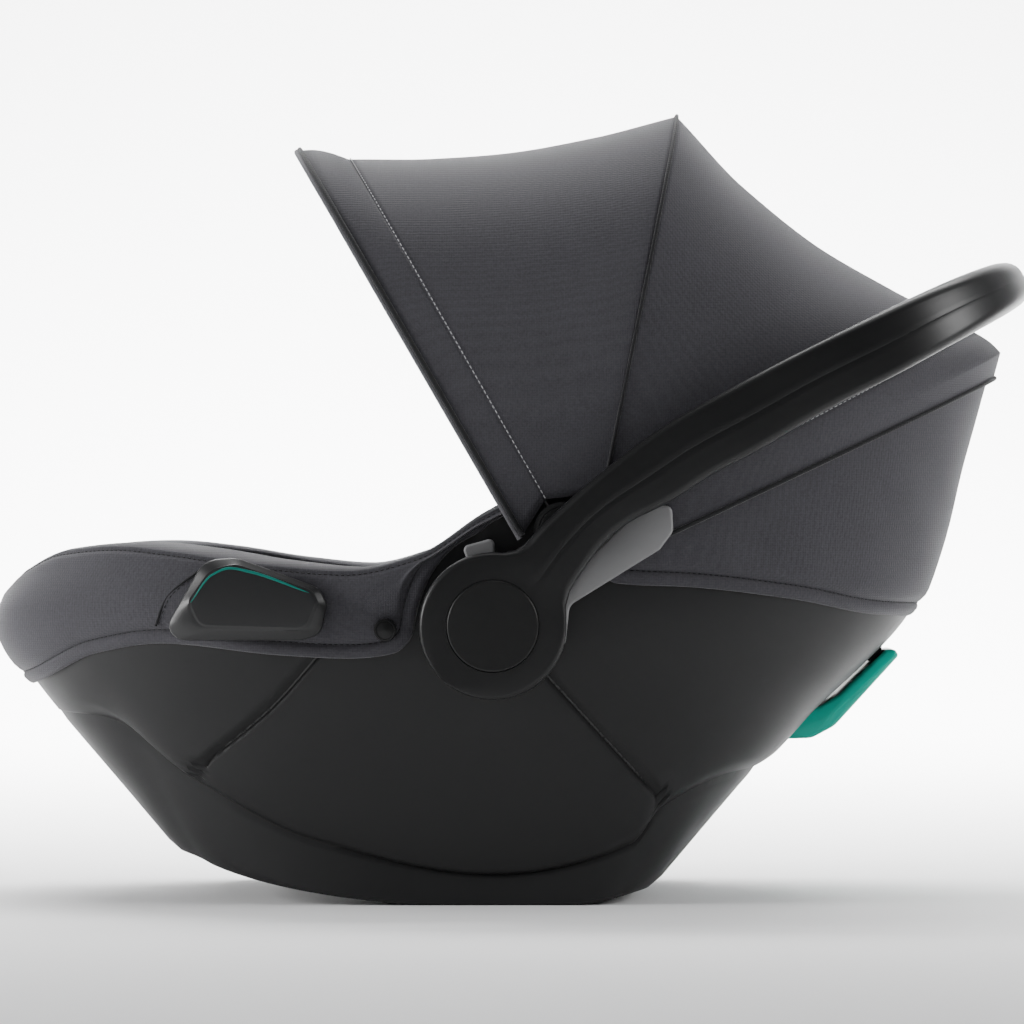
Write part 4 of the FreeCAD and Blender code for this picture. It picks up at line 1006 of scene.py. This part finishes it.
def loop_section(half, depth, corner, roof):
    """A rounded rectangle with a fine line along the middle of its outer face."""
    corner = min(corner, half * 0.96, depth * 0.96)
    w, d = half - corner, depth - corner
    points = []

    def arc(cx, cy, start):
        for t in np.linspace(0, 1, 7):
            turn = math.radians(start + 90 * t)
            points.append((cx + corner * math.cos(turn), cy + corner * math.sin(turn)))

    arc(w, d, 0)
    for share in (0.62, 0.3, 0.04, 0.0, -0.04, -0.3, -0.62):
        rise = roof * (1 - abs(share)) - (0.35 * roof if share == 0.0 else 0.0)
        points.append((w * share, depth + rise))
    arc(-w, d, 90)
    points.append((-half, 0))
    arc(-w, -d, 180)
    for share in (-0.6, 0.0, 0.6):
        points.append((w * share, -depth))
    arc(w, -d, 270)
    points.append((half, 0))
    return np.array(points)


def make_handle():
    rows = arm_stations()
    hub_count = 20
    run = np.concatenate([[0], np.cumsum(np.linalg.norm(np.diff(rows[:, :3], axis=0), axis=1))])
    fine = np.concatenate([run[:hub_count], np.linspace(run[hub_count - 1], run[-1], 74)[1:]])
    dense = cubic(run, rows, fine)
    dense[:hub_count] = rows[:hub_count]
    dense[-1] = rows[-1]
    dense[-1, 1] = 0.0
    mirrored = dense[-2::-1].copy()
    mirrored[:, 1] *= -1
    whole = np.concatenate([dense, mirrored])
    centres = whole[:, :3]
    along = np.gradient(centres, axis=0)
    rings = []
    for i, station in enumerate(whole):
        wide = np.array([station[3], 0, station[4]])
        wide /= np.linalg.norm(wide)
        way = along[i]
        if i < hub_count:
            way = np.array([wide[2], 0, -wide[0]])
        if i >= len(whole) - hub_count:
            way = np.array([-wide[2], 0, wide[0]])
        deep = np.cross(way, wide)
        deep /= np.linalg.norm(deep)
        shape = loop_section(station[5], station[6], station[7], max(station[8], 0))
        rings.append(station[:3] + shape[:, :1] * wide + shape[:, 1:] * deep)
    grid = np.array(rings)
    sides = grid.shape[1]
    faces = grid_faces(len(rings), sides, True)
    faces.append(tuple(range(sides))[::-1])
    faces.append(tuple((len(rings) - 1) * sides + i for i in range(sides)))
    piece = add("handle", grid.reshape(-1, 3), faces, look["handle_plastic"])
    room = [(27.0, 196.0), (27.0, 209.0), (9.06, 209.0), (9.06, 213.0), (29.0, 213.0), (29.0, 226.0)]
    for name, side in SIDES:
        cutter = lathe("cut_" + name, room, HUB, look["handle_plastic"], side, 96)
        cut = piece.modifiers.new("room", "BOOLEAN")
        cut.object = cutter
        cut.operation = "DIFFERENCE"
        cut.solver = "EXACT"
        apply_modifiers(piece)
        bpy.data.objects.remove(cutter)
    piece.data.shade_smooth()
    piece.data.set_sharp_from_angle(angle=math.radians(34))
    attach(piece, "handle")
    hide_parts("handle_upper_shell", "handle_lower_shell", "handle_hub_left", "handle_hub_right")


def apply_modifiers(piece):
    """Bakes a piece's modifiers into its mesh."""
    bpy.context.view_layer.update()
    seen = piece.evaluated_get(bpy.context.evaluated_depsgraph_get())
    baked = bpy.data.meshes.new_from_object(seen)
    piece.modifiers.clear()
    piece.data = baked


make_handle()

# ----------------------------------------------------------------------------------------------
# Release levers, belt guides, studs and pivot caps
# ----------------------------------------------------------------------------------------------
LEVER_OUTLINE = [
    (10, 164), (33, 163), (36, 191.5), (92.5, 226.5), (101, 238), (100, 254), (84, 254), (62, 235),
    (35, 207.5), (10, 192),
]
GUIDE_OUTER = [
    (-217, 177.5), (-193, 220), (-173, 221.5), (-121, 202.5), (-115.5, 192), (-120, 173),
    (-132, 169.5), (-209, 169.5),
]
GUIDE_PANEL = [
    (-203, 193), (-188.5, 213.5), (-173.5, 217), (-125.5, 200.5), (-121.5, 193), (-129, 176),
    (-196, 178),
]
GUIDE_LINE = [(-201, 194), (-188, 211), (-176.4, 215.4), (-163.9, 213.1), (-127, 200)]


HOOK_OUTLINE = [
    (168, 113), (178, 101.5), (196, 102), (211, 110), (253, 156), (251, 160), (244, 159.5), (236, 152),
    (214, 130.5), (200, 122), (186, 121),
]


def make_hook():
    """Moulded belt hook under the head end, with rounded edges and painted shade: its inner face is a
    darker green.
    """
    loop = rounded(HOOK_OUTLINE, [4, 8, 14, 18, 2.4, 2.4, 3, 12, 16, 10, 6])
    layers = [(-34.0, 2.2), (-33.4, 0.9), (-32.0, 0.0), (32.0, 0.0), (33.4, 0.9), (34.0, 2.2)]
    rings = [(inset(loop, cut), -y) for y, cut in layers]
    piece = stack("rear_hook", rings, look["green_plastic"], -1, body="seat",
                  replaces=("rear_belt_hook",), slot="green_plastic", sharp=50)
    # faces turned up and towards the foot end get the darker green: painted shade on the hook's inner
    # face
    piece.data.materials.append(painted_shade_green)
    for face in piece.data.polygons:
        if face.normal.x < -0.2 and face.normal.z > 0.2 and abs(face.normal.y) < 0.5:
            face.material_index = 1


make_hook()


def star(outline, centre, count):
    """A closed outline as points in even directions from its centre."""
    loop = np.concatenate([outline, outline[:1]]) - centre
    dense = np.concatenate([np.linspace(a, b, 12, endpoint=False) for a, b in zip(loop, loop[1:])])
    turn = np.unwrap(np.arctan2(dense[:, 1], dense[:, 0]))
    if turn[-1] < turn[0]:
        dense, turn = dense[::-1], turn[::-1]
    even = turn[0] + np.linspace(0, 2 * math.pi, count, endpoint=False)
    size = np.hypot(dense[:, 0], dense[:, 1])
    wrapped = np.concatenate([turn, [turn[0] + 2 * math.pi]])
    radius = np.interp(even, wrapped, np.concatenate([size, size[:1]]))
    return centre + radius[:, None] * np.stack([np.cos(even), np.sin(even)], 1)


def polar_sorted(outline, centre):
    """Directions start at the same place for every outline."""
    loop = star(outline, centre, 240)
    turn = np.arctan2(loop[:, 1] - centre[1], loop[:, 0] - centre[0]) % (2 * math.pi)
    order = np.argsort(turn)
    even = np.linspace(0, 2 * math.pi, 120, endpoint=False)
    size = np.hypot(*(loop[order] - centre).T)
    full = 2 * math.pi
    around = np.concatenate([turn[order] - full, turn[order], turn[order] + full])
    radius = np.interp(even, around, np.tile(size, 3))
    return centre + radius[:, None] * np.stack([np.cos(even), np.sin(even)], 1)


# half sections of the round caps, as (radius, distance outwards)
STUD_PROFILE = [
    (6.2, 182), (7.2, 186), (7.2, 192.6), (6.8, 193.6), (6.0, 193.8), (5.6, 193.2), (5.0, 193.3),
    (2.5, 194.0), (0.4, 194.2),
]
PIVOT_PROFILE = [
    (17.4, 194.6), (18.4, 195.4), (18.4, 197.2), (17.6, 198.4), (15.6, 198.9), (15.0, 198.2),
    (14.4, 198.9), (6.0, 199.6), (0.5, 199.8),
]

for name, side in SIDES:
    body = name[0]
    lever = rounded(LEVER_OUTLINE, [3, 8, 8, 9, 8, 4, 6, 20, 14, 3])
    stack("release_lever_grip_" + name, [
        (inset(lever, 0.8), 194.2), (lever, 195.0), (lever, 197.4), (inset(lever, 0.5), 198.4),
        (inset(lever, 1.5), 199.0),
    ], look["grey_plastic"], side, body="release_lever_" + body, replaces=("release_lever_" + name,),
        slot="grey_plastic", sharp=40)
    centre = np.array([-165.0, 194.0])
    outer = polar_sorted(rounded(GUIDE_OUTER, [8, 16, 16, 9, 7, 8, 9, 10]), centre)
    inner = polar_sorted(rounded(GUIDE_PANEL, [8, 14, 12, 5, 4, 8, 9]), centre)
    mix = (outer + inner) / 2
    stack("belt_guide_" + name, [
        (inset(outer, 3), 187.5), (outer, 189.0), (outer, 191.0), (inset(outer, 0.8), 192.2),
        (mix * 0.4 + inner * 0.6, 194.4), (inset(inner, -0.6), 195.1), (inset(inner, 0.1), 195.0),
        (inset(inner, 0.9), 195.5), (inset(inner, 1.8), 195.6),
    ], look["guide_plastic"], side, body="seat", replaces=("lap_belt_guide_" + name,),
        slot="guide_plastic", sharp=50)
    foot = rounded([(-195, 171), (-133, 171), (-133, 183), (-195, 183)], [3, 3, 3, 3])
    stack("belt_guide_foot_" + name, [(foot, 160.0), (foot, 188.5)], look["guide_plastic"], side,
          body="seat", slot="guide_plastic", sharp=40)
    line_x = np.linspace(-201, -127, 60)
    glow = np.stack([line_x, np.full(60, side * 195.2), smooth(GUIDE_LINE, line_x) - 0.6], 1)
    width = 0.25 + 0.75 * np.sin(np.linspace(0.05, math.pi - 0.05, 60)) ** 0.6
    tube("belt_guide_line_" + name, glow, width, look["accent_line"], body="seat",
         replaces=("belt_guide_accent_" + name,), slot="accent_line")
    lathe("cover_stud_cap_" + name, STUD_PROFILE, (-79.5, 176), look["cap_plastic"], side, body="seat",
          replaces=("cover_stud_" + name,), slot="cap_plastic", sharp=40)
    lathe("canopy_pivot_cap_" + name, PIVOT_PROFILE, PIVOT, look["cap_plastic"], side, body="seat",
          slot="shell_plastic", sharp=40)

# ----------------------------------------------------------------------------------------------
# Pads and harness
# ----------------------------------------------------------------------------------------------


def puffed(node, name, material, voxel=5.0, cap=6.0, pressure=3.0):
    """A soft pad blown up from its CAD solid by a short cloth simulation."""
    source = frame["nodes"][node]
    piece = bpy.data.objects.new(name, source.data.copy())
    bpy.context.scene.collection.objects.link(piece)
    remesh = piece.modifiers.new("remesh", "REMESH")
    remesh.mode = "VOXEL"
    remesh.voxel_size = voxel * MM
    apply_modifiers(piece)
    before = np.array([v.co for v in piece.data.vertices], float)
    cloth = piece.modifiers.new("cloth", "CLOTH")
    settings = cloth.settings
    settings.use_pressure = True
    settings.uniform_pressure_force = pressure
    settings.effector_weights.gravity = 0
    settings.quality = 5
    scene = bpy.context.scene
    for number in range(1, 15):
        scene.frame_set(number)
    apply_modifiers(piece)
    scene.frame_set(1)
    after = np.array([v.co for v in piece.data.vertices], float)
    if after.shape == before.shape and np.isfinite(after).all():
        move = after - before
        size = np.linalg.norm(move, axis=1)
        limit = cap * MM
        scale = np.where(size > 0, limit * np.tanh(size / limit) / np.maximum(size, 1e-12), 0)
        after = before + move * scale[:, None]
        piece.data.vertices.foreach_set("co", after.astype(np.float32).ravel())
    soften = piece.modifiers.new("soften", "SMOOTH")
    soften.iterations = 4
    soften.factor = 0.5
    divide = piece.modifiers.new("divide", "SUBSURF")
    divide.levels = 1
    divide.render_levels = 1
    apply_modifiers(piece)
    piece.data.shade_smooth()
    piece.data.materials.clear()
    piece.data.materials.append(material)
    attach(piece, frame["nodes"][node]["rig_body"])
    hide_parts(node)
    return piece


puffed("newborn_insert", "newborn_insert_pad", look["lining_fabric"], cap=5.0)
puffed("headrest_pad", "headrest_cushion", look["grey_fabric"], cap=3.0)
puffed("crotch_pad", "crotch_cushion", look["grey_fabric"], voxel=2.0, cap=1.5)
for name, _ in SIDES:
    puffed("shoulder_pad_" + name, "shoulder_cushion_" + name, look["grey_fabric"],
           voxel=2.6, cap=2.0)


def strap_grid(points, half, thickness, lift, centre_y, splay):
    """Webbing along a side-view line, with rounded edges."""
    line = np.array(points, float)
    x = np.linspace(line[0, 0], line[-1, 0], 40)
    z = cubic(line[:, 0], line[:, 1], x) + lift
    flat = half * 0.9
    ring = [(-half, 0.5), (-flat, 0), (0, 0), (flat, 0), (half, 0.5), (flat, 1), (0, 1), (-flat, 1)]
    turn = math.radians(splay)
    rows = []
    for a, b in zip(x, z):
        row = []
        for y, share in ring:
            dx, dy = a - line[-1, 0], y
            row.append((line[-1, 0] + dx * math.cos(turn) - dy * math.sin(turn),
                        centre_y + dx * math.sin(turn) + dy * math.cos(turn), b + share * thickness))
        rows.append(row)
    return np.array(rows)


def strap(name, points, half, thickness, lift, centre_y, splay, node):
    grid = strap_grid(points, half, thickness, lift, centre_y, splay)
    sides = grid.shape[1]
    faces = grid_faces(len(grid), sides, True)
    faces.append(tuple(range(sides))[::-1])
    faces.append(tuple((len(grid) - 1) * sides + i for i in range(sides)))
    piece = add(name, grid.reshape(-1, 3), faces, look["webbing"], "seat", (node,), "webbing", 50)


STRAP_LINE = [(47, 103), (60, 107), (75, 116), (110, 151), (128, 165), (141, 164)]
for name, side in SIDES:
    strap("shoulder_webbing_" + name, STRAP_LINE, 12.5, 1.8, 3.1, side * 36.0, side * 9.5,
          "shoulder_strap_" + name)
strap("crotch_webbing", [(-56, 92), (-40, 88), (-22, 86.6)], 15, 1.8, 0.1, 0, 0, "crotch_strap")

# ----------------------------------------------------------------------------------------------
# Floor and backdrop
# ----------------------------------------------------------------------------------------------
pale = Shader("pale_floor")
floor_look = pale.finish(pale.ramp(pale.noise(0.6), (0.86, 0.86, 0.86), (0.90, 0.90, 0.90)), 0.9)
sweep = [(-9000.0, 0.0), (3000.0, 0.0)]
bend = 1500.0
for turn in np.linspace(0.1, math.pi / 2, 14):
    sweep.append((3000 + bend * math.sin(turn), bend - bend * math.cos(turn)))
sweep.append((4500.0, 6000.0))
rows = np.array([[(-9000.0, y, z), (9000.0, y, z)] for y, z in sweep])
floor = add("studio_floor", rows.reshape(-1, 3), grid_faces(len(rows), 2), floor_look)
